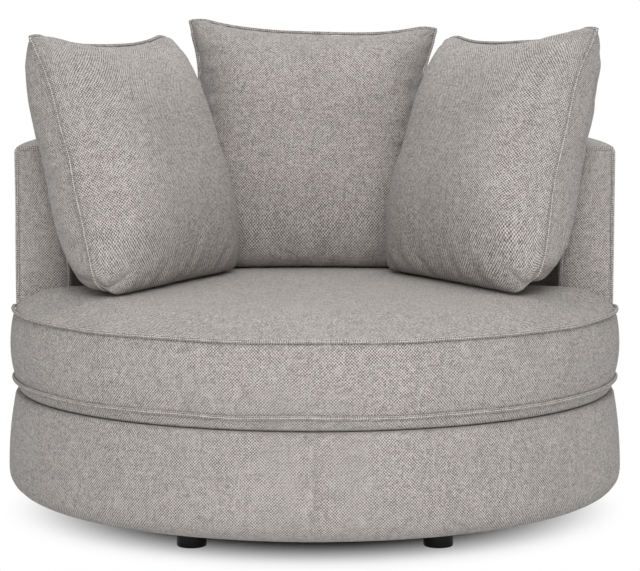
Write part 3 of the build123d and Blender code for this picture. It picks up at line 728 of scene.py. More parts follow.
@dataclass
class DrumBase:
    """Upholstered drum: rolled lower edge, bulging side, sewn at front and rear."""

    radius: float = 0.6195
    top_radius: float = 0.604
    bottom: float = 0.046
    top: float = 0.247
    roll: float = 0.045
    hem: float = 0.045
    lip: float = 0.042
    top_edge: float = 0.009
    cloth: float = 0.0025
    seam_depth: float = 0.0040
    seam_reach: float = 0.0036
    seam_rise: float = 0.35
    seam_spread: float = 5.0
    seam_length: float = 1.6
    side_middle: float = 0.15
    side_reach: float = 0.09
    wave: float = 0.0011
    wave_pitch: float = 0.33
    tuck: float = 0.0006
    tuck_pitch: float = 0.05
    tuck_stretch: float = 0.2
    tuck_middle: float = 0.06
    tuck_reach: float = 0.035
    crowding: float = 0.40
    seed: int = 11
    columns: int = 420
    rows: int = 46

    def profile(self) -> np.ndarray:
        """Draw the drum's section from its hem round to its lip.

        Returns:
            Rows of radius and height.
        """
        drop = self.radius - self.top_radius
        rise = self.top - self.bottom - self.roll
        arc = (drop**2 + rise**2) / (2 * drop)
        centre = (self.radius - self.roll, self.bottom + self.roll)
        turn = np.radians(np.linspace(270.0, 360.0, 24))
        rolled = np.stack(
            [centre[0] + self.roll * np.cos(turn), centre[1] + self.roll * np.sin(turn)], axis=1
        )
        heights = np.linspace(centre[1], self.top - self.top_edge, 40)[1:]
        side = np.stack(
            [self.radius - arc + np.sqrt(arc**2 - (heights - centre[1]) ** 2), heights], axis=1
        )
        turn = np.radians(np.linspace(10.0, 90.0, 12))
        edge = side[-1] + np.stack(
            [self.top_edge * (np.cos(turn) - 1), self.top_edge * np.sin(turn)], axis=1
        )
        hem = [(centre[0] - self.hem, self.bottom)]
        lip = [(self.top_radius - self.lip, self.top)]
        return np.concatenate([hem, rolled, side, edge, lip])

    def surface(self, across: np.ndarray, up: np.ndarray) -> np.ndarray:
        """Lay the cover round the drum, finely gathered at its two sewn joins.

        Args:
            across: share of the way round, from the front join.
            up: share of the way up the section.

        Returns:
            Points on the cover.
        """
        section = even_points(self.profile(), 400)
        spots = np.linspace(0.0, 1.0, len(section))
        radius = np.interp(up, spots, section[:, 0])
        height = np.interp(up, spots, section[:, 1])
        angle = -pi / 2 + 2 * pi * across - self.crowding * np.sin(4 * pi * across)
        side = fall(height - self.side_middle, self.side_reach)
        join = (np.abs(np.cos(angle)) * self.radius) ** 2
        beside = self.seam_rise * np.exp(-join / (self.seam_spread * self.seam_reach) ** 2)
        groove = np.exp(-join / self.seam_reach**2) - beside
        groove = self.seam_depth * groove * np.clip(side * self.seam_length, 0.0, 1.0)
        round_way = self.radius * angle
        wave = ripple(round_way, height, self.wave_pitch, self.seed) * self.wave * side
        low = fall(height - self.tuck_middle, self.tuck_reach)
        tucks = ripple(round_way, height * self.tuck_stretch, self.tuck_pitch, self.seed + 1)
        radius = radius + wave + tucks * self.tuck * low - groove
        return np.stack([radius * np.cos(angle), radius * np.sin(angle), height], axis=1)

    def build(self, finishes: Finishes) -> None:
        """Make the cover and put it on the frame.

        Args:
            finishes: the chair's materials.
        """
        piece = cloth_grid("drum_cover", self.columns, self.rows, self.surface)
        edit(piece, lambda: bpy.ops.mesh.remove_doubles(threshold=1e-5))
        thicken(piece, self.cloth)
        smooth(piece, 60.0)
        settle(piece, "frame", "upholstery", finishes.cloth, "base_cover")


# Half-round wall and its arm fronts


@dataclass
class PaddedWall:
    """Half-round padded wall: back and both arms in one sweep, with panelled arm fronts."""

    radius: float = 0.607
    room: float = 0.494
    foot: float = 0.2473
    top: float = 0.731
    tilt: float = 4.0
    top_width: float = 0.061
    flare_height: float = 0.291
    inner_round: float = 0.018
    outer_round: float = 0.010
    cloth: float = 0.0025
    panel: float = 0.0083
    panel_inset: float = 0.0055
    welt_inset: float = 0.0045
    welt: float = 0.0036
    least_round: float = 0.003
    lean_start: float = 0.6
    lean_reach: float = 0.13
    softness: tuple[float, float] = (0.0009, 0.0016)
    wave_pitch: float = 0.30
    firm_rim: float = 0.03
    firm_reach: float = 0.1
    corner_height: float = 0.012
    corner_width: float = 0.02
    corner_draw: float = 0.006
    edge_roll: float = 0.012
    puff: float = 0.0025
    puff_rise: float = 3.0
    puff_room: float = 0.002
    off_frame: float = 0.0003
    panel_wave: float = 0.0007
    panel_pitch: float = 0.16
    seed: int = 21
    panel_seed: int = 31
    columns: int = 200
    outer_rows: int = 36
    inner_rows: int = 56
    panel_columns: int = 24
    panel_rows: int = 72
    welt_points: int = 150

    def room_radius(self, height: np.ndarray, inset: float = 0.0) -> np.ndarray:
        """Radius of the inner face at a height, drawn in by an inset."""
        run = self.radius - self.top_width - self.room
        arc = (run**2 + self.flare_height**2) / (2 * run)
        rise = np.maximum(height - (self.top - self.flare_height), 0.0)
        return self.room + arc - np.sqrt((arc - inset) ** 2 - rise**2)

    def section(self, rim: float) -> tuple[np.ndarray, np.ndarray]:
        """Draw the wall's section for one height of its top.

        Args:
            rim: the top's height.

        Returns:
            The outer face's line upwards, and the line over the top and down the inner face.
        """
        outer = [(self.radius, self.foot), (self.radius, rim - self.outer_round)]
        turn = np.radians(np.linspace(0.0, 90.0, 8))
        corner = self.radius - self.outer_round
        over = np.stack(
            [corner + self.outer_round * np.cos(turn), rim + self.outer_round * (np.sin(turn) - 1)],
            axis=1,
        )
        inner_rim = float(self.room_radius(np.array(rim)))
        turn = np.radians(np.linspace(90.0, 170.0, 10))
        inner = np.stack(
            [
                inner_rim + self.inner_round * (1 + np.cos(turn)),
                rim + self.inner_round * (np.sin(turn) - 1),
            ],
            axis=1,
        )
        heights = np.linspace(rim - self.inner_round * 1.05, self.foot, 40)
        face = np.stack([self.room_radius(heights), heights], axis=1)
        return np.array(outer), np.concatenate([over, inner, face])

    def sweep(self, face: Face, across: np.ndarray, up: np.ndarray) -> np.ndarray:
        """Sweep one of the section's lines round the half circle.

        Args:
            face: the outer face, or the inner face with the top.
            across: share of the half circle.
            up: share of the way along the line.

        Returns:
            Points on the cover.
        """
        angle = pi * across
        middle = (self.radius + self.room) / 2
        points = np.empty((len(across), 3))
        for turn in np.unique(angle):
            here = angle == turn
            rim = self.top + middle * sin(turn) * tan(radians(self.tilt))
            path = even_points(self.section(rim)[face.value], 240)
            spots = np.linspace(0.0, 1.0, len(path))
            points[here, 0] = np.interp(up[here], spots, path[:, 0])
            points[here, 2] = np.interp(up[here], spots, path[:, 1])
        radius = points[:, 0]
        lean = (radius - middle) * np.sin(angle) * tan(radians(self.tilt))
        height = points[:, 2] + lean * ramp(points[:, 2] - self.lean_start, self.lean_reach)
        wave = ripple(angle * middle, height, self.wave_pitch, self.seed + face.value)
        below_rim = ramp(self.top - self.firm_rim - height, self.firm_reach)
        radius = radius + self.softness[face.value] * wave * below_rim
        return np.stack([radius * np.cos(angle), radius * np.sin(angle), height], axis=1)

    def arm_line(self, inset: float, count: int) -> np.ndarray:
        """Outline of the right arm's front, from its inner foot over the top to its outer foot.

        Args:
            inset: how far the outline is drawn in.
            count: how many points it has.

        Returns:
            Rows of x and z.
        """
        rim = self.top - inset
        inner_round = self.inner_round - inset / 2
        outer_round = max(self.outer_round - inset / 2, self.least_round)
        heights = np.linspace(self.foot, rim - inner_round, 40)
        face = np.stack([self.room_radius(heights, inset), heights], axis=1)
        start = float(self.room_radius(np.array(rim), inset))
        turn = np.radians(np.linspace(165.0, 90.0, 10))
        inner = np.stack(
            [start + inner_round * (1 + np.cos(turn)), rim + inner_round * (np.sin(turn) - 1)], axis=1
        )
        corner = self.radius - inset - outer_round
        turn = np.radians(np.linspace(90.0, 0.0, 8))
        outer = np.stack(
            [corner + outer_round * np.cos(turn), rim + outer_round * (np.sin(turn) - 1)], axis=1
        )
        foot = [(self.radius - inset, self.foot)]
        return even_points(np.concatenate([face, inner, outer, foot]), count)

    def arm_panel(self, across: np.ndarray, up: np.ndarray) -> np.ndarray:
        """Stretch a lightly padded panel over the right arm's front.

        Args:
            across: share of the way from its inner to its outer edge.
            up: share of the way up.

        Returns:
            Points on the panel.
        """
        rim = self.top - self.panel_inset
        side = 0.5 - 0.5 * np.cos(pi * across)
        rise = 0.5 - 0.5 * np.cos(pi * up)
        height = self.foot + (rim - self.foot) * rise
        inner = self.room_radius(height, self.panel_inset)
        outer = self.radius - self.panel_inset
        place = inner + (outer - inner) * side
        edge = np.minimum.reduce([place - inner, outer - place, rim - height, height - self.foot])
        corner = np.clip(1.0 - (rim - height) / self.corner_height, 0.0, 1.0) ** 2
        near = np.clip(1.0 - (place - inner) / self.corner_width, 0.0, 1.0)
        place = place + self.corner_draw * corner * near
        puff = self.puff * np.sin(pi * side) * np.clip(np.sin(pi * rise) * self.puff_rise, 0.0, 1.0)
        forward = self.off_frame + (self.panel - self.puff_room) * swell(edge / self.edge_roll) + puff
        forward = forward + self.panel_wave * ripple(place, height, self.panel_pitch, self.panel_seed)
        return np.stack([place, -np.maximum(forward, self.off_frame), height], axis=1)

    def build(self, finishes: Finishes) -> None:
        """Make the covers, arm fronts and piping and put them on the frame.

        Args:
            finishes: the chair's materials.
        """
        covers = (
            (Face.OUTER, self.outer_rows, ["back_outer_cover"]),
            (Face.INNER, self.inner_rows, ["back_inner_cover", "back_foam"]),
        )
        for face, rows, nodes in covers:
            name = f"wall_{face.name.lower()}_cover"
            piece = cloth_grid(
                name, self.columns, rows, lambda a, u, face=face: self.sweep(face, a, u)
            )
            thicken(piece, self.cloth)
            smooth(piece, 50.0)
            settle(piece, "frame", "upholstery", finishes.cloth, *nodes)
        welt_lines = []
        for edge in Edge:
            name = edge.name.lower()
            flip = np.array((edge.value, 1.0, 1.0))
            piece = cloth_grid(
                f"arm_front_{name}", self.panel_columns, self.panel_rows,
                lambda a, u, flip=flip: self.arm_panel(a, u) * flip,
            )
            if edge is Edge.LEFT:
                edit(piece, bpy.ops.mesh.flip_normals)
            thicken(piece, self.cloth)
            smooth(piece, 50.0)
            settle(piece, "frame", "upholstery", finishes.cloth, f"arm_panel_{name}")
            line = self.arm_line(self.welt_inset, self.welt_points)
            ahead = np.full(len(line), -self.off_frame - self.welt)
            welt_lines.append(np.stack([line[:, 0], ahead, line[:, 1]], axis=1) * flip)
        piece = cord_along("arm_piping", welt_lines, self.welt, closed=False)
        settle(piece, "frame", "piping", finishes.piping, "arm_welts")


# Seat cushion


@dataclass
class SeatCushion:
    """T-shaped round cushion: crowned top, boxed sides, piped seams."""

    front: float = 0.605
    rear: float = 0.480
    ear: float = -0.0223
    ear_round: float = 0.028
    ear_crease: float = 0.012
    lower: float = 0.274
    upper: float = 0.411
    floor: float = 0.2473
    under_reach: float = 0.014
    bulge: float = 0.008
    rear_bulge: float = 0.001
    underside: float = 0.85
    crown_top: float = 0.459
    shoulder: tuple[float, float] = (0.450, 0.450)
    edge_height: float = 0.419
    edge_roll: float = 0.075
    ear_middle: tuple[float, float] = (0.545, 0.085)
    ear_reach: float = 0.085
    ear_plump: float = 0.013
    wall_room: float = 0.004
    ear_start: float = 0.02
    ear_depth: float = 0.03
    ear_room: float = 0.003
    crown_room: float = 0.0002
    seam_near: float = 0.03
    seam_hold: float = 0.75
    give_reach: float = 0.02
    welt: float = 0.0038
    welt_out: float = 0.9
    welt_wave: float = 0.0012
    welt_pitch: float = 0.35
    seed: int = 41
    voxel: float = 0.0095
    columns: int = 300
    cloth_steps: int = 1600
    seam_points: int = 720
    welt_points: int = 900
    side_rings: int = 11
    under_steps: tuple[float, ...] = (1.0, 0.5, 0.15)
    crown_middle: tuple[float, float] = (0.0, -0.06)
    crown_steps: tuple[float, ...] = (
        0.012, 0.03, 0.055, 0.085, 0.12, 0.17, 0.23, 0.31, 0.4, 0.52, 0.66, 0.82, 0.95,
    )
    evening: int = 6
    stuffing: Stuffing = field(default_factory=lambda: Stuffing(4.0, 0.006, 0.010, 1.2, 16))

    def outline(self, front: float, rear: float, ear: float, count: int) -> np.ndarray:
        """Draw the cushion's T outline, round from the middle of its front.

        Args:
            front: radius of the front arc.
            rear: radius of the rear arc.
            ear: place of the ears' rear edge.
            count: how many points, an even number.

        Returns:
            Rows of x and y, anticlockwise.
        """
        ahead = ear - self.ear_round
        behind = ear + self.ear_crease
        convex = (sqrt((front - self.ear_round) ** 2 - ahead**2), ahead)
        concave = (sqrt((rear + self.ear_crease) ** 2 - behind**2), behind)
        turn_in = atan2(convex[1], convex[0])
        turn_out = atan2(-concave[1], -concave[0]) - 2 * pi
        arcs = (
            ((0.0, 0.0), front, -pi / 2, turn_in, 120),
            (convex, self.ear_round, turn_in, pi / 2, 14),
            (concave, self.ear_crease, -pi / 2, turn_out, 12),
            ((0.0, 0.0), rear, atan2(concave[1], concave[0]), pi / 2, 100),
        )
        right = np.concatenate(
            [
                np.stack([c[0] + r * np.cos(t), c[1] + r * np.sin(t)], axis=1)
                for c, r, first, last, steps in arcs
                for t in [np.linspace(first, last, steps)]
            ]
        )
        half = even_points(right, count // 2 + 1)
        return np.concatenate([half, half[-2:0:-1] * (-1.0, 1.0)])

    def dome(self, radius: np.ndarray) -> np.ndarray:
        """Height of the cushion's crown at a radius: a wide cap, then a fall to its edge."""
        drop = self.crown_top - self.shoulder[1]
        cap = (self.shoulder[0] ** 2 + drop**2) / (2 * drop)
        centre = np.array((0.0, self.crown_top - cap))
        shoulder = np.array(self.shoulder)
        normal = (shoulder - centre) / np.linalg.norm(shoulder - centre)
        down = np.array((self.front, self.edge_height)) - shoulder
        arc = -down.dot(down) / (2 * down.dot(normal))
        turn = shoulder - normal * arc
        inner = centre[1] + np.sqrt(cap**2 - np.minimum(radius, shoulder[0]) ** 2)
        past = np.minimum(radius, self.front) - turn[0]
        outer = turn[1] + np.sqrt(np.maximum(arc**2 - past**2, 0))
        return np.where(radius < shoulder[0], inner, outer)

    def crown(self, points: np.ndarray) -> np.ndarray:
        """Height of the finished top: the dome, plumper at the ears ahead of the arms."""
        x, y = points[:, 0], points[:, 1]
        out, ahead = self.ear_middle
        ears = sum(fall(np.hypot(x - side * out, y + ahead), self.ear_reach) for side in (-1, 1))
        return self.dome(np.hypot(x, y)) + self.ear_plump * ears

    def rings(self) -> np.ndarray:
        """Stack the cushion's outlines from underneath to the crown.

        Returns:
            Rings by points by x, y, z.
        """
        stack = []
        for step in self.under_steps:
            inset = self.under_reach * step
            ring = self.outline(self.front - inset, self.rear - inset, self.ear, self.columns)
            height = self.lower - (self.lower - self.floor) * float(swell(np.array(step)))
            stack.append((ring, np.full(len(ring), height)))
        for share in np.linspace(0.0, 1.0, self.side_rings):
            out = 4 * share * (1 - share)
            behind = self.rear_bulge * out
            ring = self.outline(
                self.front + self.bulge * out, self.rear + behind, self.ear + behind, self.columns
            )
            stack.append((ring, np.full(len(ring), self.lower + (self.upper - self.lower) * share)))
        seam = stack[-1][0]
        middle = np.array(self.crown_middle)
        reach = np.linalg.norm(seam - middle, axis=1)
        for share in self.crown_steps:
            ring = middle + (seam - middle) * (1 - share)
            lift = (self.crown(ring) - self.upper) * swell(share * reach / self.edge_roll)
            stack.append((ring, self.upper + lift))
        return np.stack([np.concatenate([ring, high[:, None]], axis=1) for ring, high in stack])

    def seam_distance(self, points: np.ndarray, height: float) -> np.ndarray:
        """Distance of points to one of the cushion's piped seams."""
        line = self.outline(self.front, self.rear, self.ear, self.seam_points)
        seam = np.concatenate([line, np.full((len(line), 1), height)], axis=1)
        nearest = np.full(len(points), 1.0)
        close = np.flatnonzero(np.abs(points[:, 2] - height) < self.seam_near)
        for block in np.array_split(close, max(1, len(close) // BLOCK)):
            gaps = np.linalg.norm(points[block, None, :] - seam[None, :, :], axis=2)
            nearest[block] = gaps.min(axis=1)
        return nearest

    def along_outline(self, points: np.ndarray) -> tuple[np.ndarray, float]:
        """Find how far along the cushion's outline points lie.

        Args:
            points: rows of x, y and z.

        Returns:
            Metres from the middle of the front, less than 0 on the left, and the whole way round.
        """
        line = self.outline(self.front, self.rear, self.ear, self.cloth_steps)
        whole = run_length(np.concatenate([line, line[:1]]))[-1]
        ahead = np.roll(line, -1, axis=0) - np.roll(line, 1, axis=0)
        ahead /= np.linalg.norm(ahead, axis=1, keepdims=True)
        nearest = np.empty(len(points), dtype=int)
        for block in np.array_split(np.arange(len(points)), max(1, len(points) // BLOCK)):
            gaps = np.linalg.norm(points[block, None, :2] - line[None, :, :], axis=2)
            nearest[block] = gaps.argmin(axis=1)
        past = np.einsum("ij,ij->i", points[:, :2] - line[nearest], ahead[nearest])
        run = run_length(line)[nearest] + past
        return np.where(run > whole / 2, run - whole, run), whole

    def map_cloth(self, piece: bpy.types.Object) -> None:
        """Give the cushion's panels and boxing their own UV layout in metres of cloth."""
        faces = len(piece.data.polygons)
        centres = np.empty(faces * 3)
        normals = np.empty(faces * 3)
        totals = np.empty(faces, dtype=np.int32)
        piece.data.polygons.foreach_get("center", centres)
        piece.data.polygons.foreach_get("normal", normals)
        piece.data.polygons.foreach_get("loop_total", totals)
        centres = np.repeat(centres.reshape(-1, 3), totals, axis=0)
        normals = np.repeat(normals.reshape(-1, 3), totals, axis=0)
        place = points_of(piece)[corners_of(piece)]
        cloth = place[:, :2].copy()
        boxing = (centres[:, 2] < self.upper) & (normals[:, 2] > -self.underside)
        run, whole = self.along_outline(place[boxing])
        own, _ = self.along_outline(centres[boxing])
        cloth[boxing, 0] = run + whole * np.round((own - run) / whole)
        cloth[boxing, 1] = place[boxing, 2]
        lay_cloth(piece, cloth)

    def keep_clear(self, piece: bpy.types.Object) -> None:
        """Hold the filled cushion off the deck, the wall, the arms and the pillows' feet."""
        points = points_of(piece)
        points[:, 2] = np.maximum(points[:, 2], self.floor)
        radius = np.hypot(points[:, 0], points[:, 1])
        behind = points[:, 1] > self.ear
        inside = np.minimum(1.0, (self.rear + self.wall_room) / np.maximum(radius, 1e-6))
        points[:, :2] *= np.where(behind, inside, 1.0)[:, None]
        ears = (radius > self.rear + self.ear_start) & (points[:, 1] > self.ear - self.ear_depth)
        points[ears, 1] = np.minimum(points[ears, 1], self.ear + self.ear_room)
        points[:, 2] = np.minimum(points[:, 2], self.crown(points) + self.crown_room)
        move_points(piece, points)

    def build(self, finishes: Finishes) -> bpy.types.Object:
        """Make the filled cushion and its piping and put them on their body.

        Args:
            finishes: the chair's materials.

        Returns:
            The filled cushion.
        """
        rings = self.rings()
        last = len(rings) - 1

        def surface(across: np.ndarray, up: np.ndarray) -> np.ndarray:
            """Pick points of the stacked outlines."""
            row = np.rint(up * last).astype(int)
            column = np.rint(across * self.columns).astype(int) % self.columns
            return rings[row, column]

        piece = cloth_grid("seat_cushion_cover", self.columns, last, surface)
        edit(
            piece,
            lambda: bpy.ops.mesh.remove_doubles(threshold=1e-6),
            lambda: bpy.ops.mesh.fill_holes(sides=0),
            lambda: bpy.ops.mesh.normals_make_consistent(inside=False),
        )
        piece.data.remesh_voxel_size = self.voxel
        bpy.ops.object.voxel_remesh()
        relax(piece, self.evening)
        points = points_of(piece)
        sewn = np.minimum(self.seam_distance(points, self.upper), self.seam_distance(points, self.lower))
        give = ramp(points[:, 2] - self.lower, self.give_reach)
        self.stuffing.fill(piece, sewn < self.seam_hold * self.voxel, give)
        self.keep_clear(piece)
        self.map_cloth(piece)
        subdivide(piece)
        smooth(piece)
        settle(
            piece, "seat_cushion", "upholstery", finishes.cloth, "seat_top_panel", "seat_bottom_panel",
            "seat_boxing", "seat_zip_boxing", "seat_foam_core",
        )
        out = self.welt * self.welt_out
        line = self.outline(self.front + out, self.rear + out, self.ear + out, self.welt_points)
        way = np.linspace(0.0, 2 * pi, len(line), endpoint=False)
        for name, height, seed in (("upper", self.upper, self.seed), ("lower", self.lower, self.seed + 1)):
            wave = self.welt_wave * ripple(np.cos(way), np.sin(way), self.welt_pitch, seed)
            path = np.concatenate([line, (height + wave)[:, None]], axis=1)
            cord = cord_along(f"seat_{name}_piping", [path], self.welt, closed=True)
            settle(cord, "seat_cushion", "piping", finishes.piping, f"seat_{name}_welt")
        return piece


# Loose pillows


@dataclass
class LoosePillow:
    """Knife-edge pillow with piped seams, leaning on the wall."""

    name: str
    seed: int
    width: float = 0.572
    height: float = 0.520
    thickness: float = 0.245
    reach: float = 0.2025
    fullness: float = 0.85
    side_draw: float = 0.040
    draw_lean: float = 0.45
    top_draw: float = 0.035
    flare: float = 3.0
    corner: float = 0.058
    sag_depth: float = 0.025
    sag_reach: float = 0.12
    rest_gap: float = 0.0015
    gather: float = 0.0035
    gather_pitch: float = 0.060
    gather_middle: float = 0.035
    gather_reach: float = 0.030
    seam_hold: float = 0.02
    filling: float = 0.97
    settling: float = 0.06
    unevenness: float = 0.03
    uneven_pitch: float = 0.28
    foot_top: float = 0.62
    drop_from: float = 0.7
    welt: float = 0.0034
    welt_sink: float = 0.002
    welt_wave: float = 0.0022
    welt_pitch: float = 0.4
    welt_rest: float = 0.05
    welt_points: int = 520
    seam_gap: float = 0.0050
    chain_drop: float = 0.003
    chain_back: float = 0.0086
    columns: int = 78
    rows: int = 74
    stuffing: Stuffing = field(default_factory=lambda: Stuffing(4.0, 0.02, 0.016, 0.35, 20))

    @property
    def body(self) -> str:
        """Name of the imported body."""
        return f"pillow_{self.name}"

    def axes(self, frame: dict) -> tuple[np.ndarray, np.ndarray]:
        """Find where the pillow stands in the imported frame.


        Returns:
            The middle of its bottom seam, and rows of its width, height and face directions.
        """
        joints = {joint["name"]: np.array(joint["axis"]) for joint in frame["joints"]}
        wide = -joints[f"{self.body}_zip"]
        high = joints[f"{self.body}_lift"]
        face = np.cross(wide, high)
        chain = points_of(frame["nodes"][f"{self.body}_zip_chain"])
        middle = (chain.min(axis=0) + chain.max(axis=0)) / 2
        return middle + high * self.chain_drop + face * self.chain_back, np.stack([wide, high, face])

    def outline(self, across: np.ndarray, up: np.ndarray) -> np.ndarray:
        """Map shares to the pillow's flat outline: drawn-in sides and top, round corners.

        Args:
            across: from -1 to 1.
            up: from -1 to 1.

        Returns:
            Rows of x and y in the pillow's plane.
        """
        draw = self.side_draw * (1 + self.draw_lean * up)
        half = self.width / 2 - draw * (1 - np.abs(up) ** self.flare)
        rim = self.height - self.top_draw * (1 - np.abs(across) ** self.flare)
        x = across * half
        y = rim * (up + 1) / 2
        over_x = np.abs(x) - (half - self.corner)
        over_y = np.maximum(y - (rim - self.corner), self.corner - y)
        both = (over_x > 0) & (over_y > 0)
        far = np.maximum(np.hypot(over_x, over_y), 1e-9)
        pull = np.where(both, 1 - np.maximum(over_x, over_y) / far, 0.0)
        x = x - np.sign(x) * over_x * pull
        y = y - np.sign(up) * over_y * pull
        return np.stack([x, y], axis=1)

    def half(self, across: np.ndarray, up: np.ndarray) -> np.ndarray:
        """Swell one panel of the pillow off its seam, fuller below the middle.

        Args:
            across: share across, from 0 to 1.
            up: share up, from 0 to 1.

        Returns:
            Rows of x, y and height off the seam.
        """
        side = np.sin(pi * (across - 0.5))
        rise = np.sin(pi * (up - 0.5))
        flat = self.outline(side, rise)
        from_side = (1 - np.abs(side)) * self.width / 2
        from_end = (1 - np.abs(rise)) * self.height / 2
        plump = (swell(from_side / self.reach) * swell(from_end / self.reach)) ** self.fullness
        x, y = flat[:, 0], flat[:, 1]
        settled = 1.0 - self.settling * rise
        uneven = 1.0 + self.unevenness * ripple(x, y, self.uneven_pitch, self.seed)
        off_seam = np.minimum(from_side, from_end)
        puckers = self.gather * ripple(x, y, self.gather_pitch, self.seed + 2)
        puckers = puckers * fall(off_seam - self.gather_middle, self.gather_reach)
        puckers = puckers * ramp(off_seam, self.seam_hold)
        high = self.thickness / 2 * self.filling * plump * settled * uneven + puckers
        return np.concatenate([flat, high[:, None]], axis=1)

    def seam_line(self, count: int, out: float) -> np.ndarray:
        """Outline of the seam in the pillow's plane, moved outwards.

        Args:
            count: how many points.
            out: how far outside the seam.

        Returns:
            Rows of x and y, round from the bottom left.
        """
        run = np.linspace(-1.0, 1.0, 200)
        one = np.ones_like(run)
        line = np.concatenate(
            [
                self.outline(run, -one),
                self.outline(one, run),
                self.outline(-run, one),
                self.outline(-one, -run),
            ]
        )
        line = even_points(line, count + 1)[:-1]
        along = np.roll(line, -1, axis=0) - np.roll(line, 1, axis=0)
        along /= np.linalg.norm(along, axis=1, keepdims=True)
        return line + out * np.stack([along[:, 1], -along[:, 0]], axis=1)

    def rest_on(self, piece: bpy.types.Object, flat: np.ndarray, seat: BVHTree) -> None:
        """Let the front panel's foot sag onto the cushion, and flatten what would sink into it.

        Args:
            piece: the filled pillow.
            flat: its points in the pillow's own width, height and face directions.
            seat: the cushion's surface.
        """
        points = points_of(piece)
        ahead = ramp(flat[:, 2], self.sag_depth)
        low = np.clip(1.0 - flat[:, 1] / self.sag_reach, 0.0, 1.0) ** 2
        down = Vector((0.0, 0.0, -1.0))
        for index in np.flatnonzero(points[:, 2] < self.foot_top):
            x, y, z = points[index]
            hit = seat.ray_cast(Vector((x, y, self.drop_from)), down)[0]
            if hit:
                rest = hit.z + self.rest_gap
                points[index, 2] = max(z, rest) - max(z - rest, 0.0) * ahead[index] * low[index]
        move_points(piece, points)

    def build(self, finishes: Finishes, frame: dict, seat: BVHTree) -> None:
        """Make the filled pillow and its piping and put them on their body.

        Args:
            finishes: the chair's materials.
            seat: the cushion's surface that the pillow rests on.
        """
        origin, turn = self.axes(frame)
        piece = cloth_grid(f"{self.body}_cover", self.columns, self.rows, self.half)
        count = len(piece.data.vertices)
        edit(piece, bpy.ops.mesh.duplicate, bpy.ops.mesh.flip_normals)
        points = points_of(piece)
        points[count:, 2] *= -1.0
        sewn_flat = np.abs(points[:, 2]) < 1e-9
        points[sewn_flat, 2] = 0.0
        move_points(piece, points)
        edit(piece, lambda: bpy.ops.mesh.remove_doubles(threshold=1e-6))
        flat = points_of(piece)
        sewn = np.abs(flat[:, 2]) < 1e-7
        move_points(piece, origin + flat @ turn)
        self.stuffing.fill(piece, sewn, np.ones(len(flat)))
        self.rest_on(piece, flat, seat)
        subdivide(piece)
        smooth(piece)
        settle(
            piece, self.body, "upholstery", finishes.cloth,
            f"{self.body}_front_panel", f"{self.body}_back_panel", f"{self.body}_insert",
        )
        line = self.seam_line(self.welt_points, self.seam_gap - self.welt_sink)
        way = np.linspace(0.0, 2 * pi, len(line), endpoint=False)
        wave = self.welt_wave * ripple(np.cos(way), np.sin(way), self.welt_pitch, self.seed + 1)
        wave = wave * ramp(line[:, 1], self.welt_rest)
        path = np.concatenate([line, wave[:, None]], axis=1)
        cord = cord_along(f"{self.body}_piping", [origin + path @ turn], self.welt, closed=True)
        settle(cord, self.body, "piping", finishes.piping, f"{self.body}_welt")


# Studio


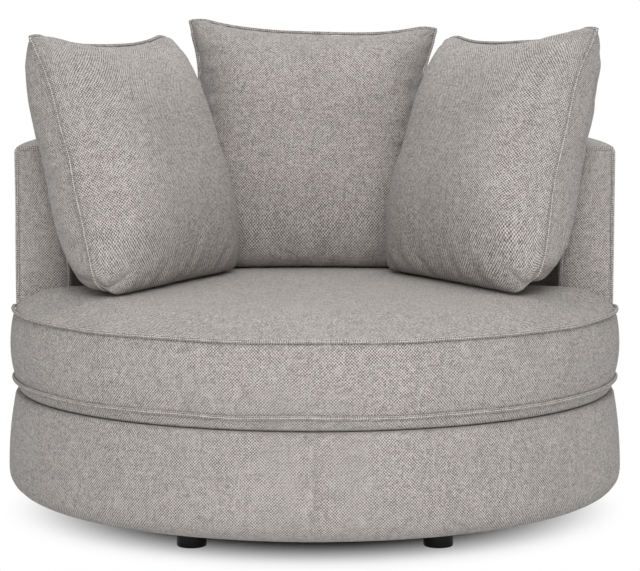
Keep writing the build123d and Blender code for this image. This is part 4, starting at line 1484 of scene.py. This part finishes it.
@dataclass
class Studio:
    """Plain pale floor, soft light and the photograph's camera."""

    camera_place: Triple = (0.0, -4.5, 0.915)
    camera_tilt: float = 84.08
    camera_turn: float = -0.13
    lens: float = 125.2
    sensor: float = 36.0
    aim: Triple = (0.0, 0.0, 0.45)
    floor_size: float = 30.0
    floor_colour: Colour = (0.93, 0.93, 0.93)
    shadow: tuple[float, float] = (0.37, 0.65)
    ambient: float = 0.42

    def camera(self) -> None:
        """Set up the camera."""
        bpy.ops.object.camera_add(
            location=self.camera_place,
            rotation=(radians(self.camera_tilt), 0.0, radians(self.camera_turn)),
        )
        camera = bpy.context.object
        camera.data.lens = self.lens
        camera.data.sensor_width = self.sensor
        camera.data.clip_end = 100.0
        bpy.context.scene.camera = camera

    def seen(self, tree: bpy.types.NodeTree) -> bpy.types.NodeSocket:
        """Give 1 on rays that show the background: straight, mirrored or through glass."""
        path = tree.nodes.new("ShaderNodeLightPath")
        total = path.outputs["Is Camera Ray"]
        for ray in ("Is Glossy Ray", "Is Transmission Ray"):
            either = tree.nodes.new("ShaderNodeMath")
            either.operation = "MAXIMUM"
            tree.links.new(total, either.inputs[0])
            tree.links.new(path.outputs[ray], either.inputs[1])
            total = either.outputs[0]
        return total

    def world(self) -> None:
        """Light the room evenly and show white behind the floor."""
        world = bpy.data.worlds.new("studio")
        bpy.context.scene.world = world
        world.use_nodes = True
        tree = world.node_tree
        even = tree.nodes["Background"]
        even.inputs[0].default_value = (1.0, 1.0, 1.0, 1.0)
        even.inputs[1].default_value = self.ambient
        white = tree.nodes.new("ShaderNodeBackground")
        white.inputs[0].default_value = (1.0, 1.0, 1.0, 1.0)
        white.inputs[1].default_value = 1.0
        mix = tree.nodes.new("ShaderNodeMixShader")
        tree.links.new(self.seen(tree), mix.inputs[0])
        tree.links.new(even.outputs[0], mix.inputs[1])
        tree.links.new(white.outputs[0], mix.inputs[2])
        tree.links.new(mix.outputs[0], tree.nodes["World Output"].inputs[0])

    def floor(self) -> None:
        """Lay a pale floor that goes over into white away from the chair."""
        deselect_all()
        bpy.ops.mesh.primitive_plane_add(size=self.floor_size)
        floor = bpy.context.object
        floor.name = "studio_floor"
        n = Nodes("pale_floor")
        n.shader.inputs["Base Color"].default_value = (*self.floor_colour, 1.0)
        n.shader.inputs["Roughness"].default_value = 0.9
        n.shader.inputs["Specular IOR Level"].default_value = 0.1
        away = n.add("VectorMath", {0: n.add("TexCoord").outputs["Object"]}, operation="LENGTH")
        reach = {0: away.outputs["Value"], 1: self.shadow[0], 2: self.shadow[1]}
        fade = n.add("MapRange", reach, interpolation_type="SMOOTHSTEP")
        share = n.maths("MULTIPLY", fade.outputs[0], self.seen(n.tree))
        white = n.add("Emission", {"Color": (1.0, 1.0, 1.0, 1.0), "Strength": 1.0})
        mix = n.add("MixShader", {0: share, 1: n.shader.outputs[0], 2: white.outputs[0]})
        n.tree.links.new(mix.outputs[0], n.tree.nodes["Material Output"].inputs[0])
        floor.data.materials.append(n.material)

    def lights(self) -> None:
        """Hang the soft boxes."""
        boxes = (
            ("key_light", (0.5, -4.0, 3.1), 2.6, 98.0),
            ("front_light", (-0.4, -4.5, 2.1), 2.2, 48.0),
            ("top_light", (0.2, 0.3, 3.6), 2.8, 34.0),
            ("rear_light", (0.6, 3.8, 2.6), 2.6, 40.0),
        )
        for name, place, size, power in boxes:
            aim = Vector(self.aim) - Vector(place)
            bpy.ops.object.light_add(
                type="AREA", location=place, rotation=aim.to_track_quat("-Z", "Y").to_euler()
            )
            lamp = bpy.context.object
            lamp.name = name
            lamp.data.shape = "SQUARE"
            lamp.data.size = size
            lamp.data.energy = power

    def build(self) -> None:
        """Set the whole studio up."""
        self.camera()
        self.world()
        self.floor()
        self.lights()
        bpy.context.scene.view_settings.view_transform = "Standard"


def main() -> None:
    """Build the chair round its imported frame, in order."""
    logging.basicConfig(level=logging.INFO, format="%(name)s: %(message)s")
    bpy.ops.object.select_all(action="SELECT")
    bpy.ops.object.delete()
    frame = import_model()
    finishes = Finishes()
    finishes.dress_carried_nodes(frame)
    Studio().build()
    DrumBase().build(finishes)
    PaddedWall().build(finishes)
    cushion = SeatCushion().build(finishes)
    seat = BVHTree.FromObject(cushion, bpy.context.evaluated_depsgraph_get())
    pillows = (
        LoosePillow("left", seed=51),
        LoosePillow("centre", seed=54, height=0.532),
        LoosePillow("right", seed=57),
    )
    for pillow in pillows:
        pillow.build(finishes, frame, seat)


if __name__ == "__main__":
    main()
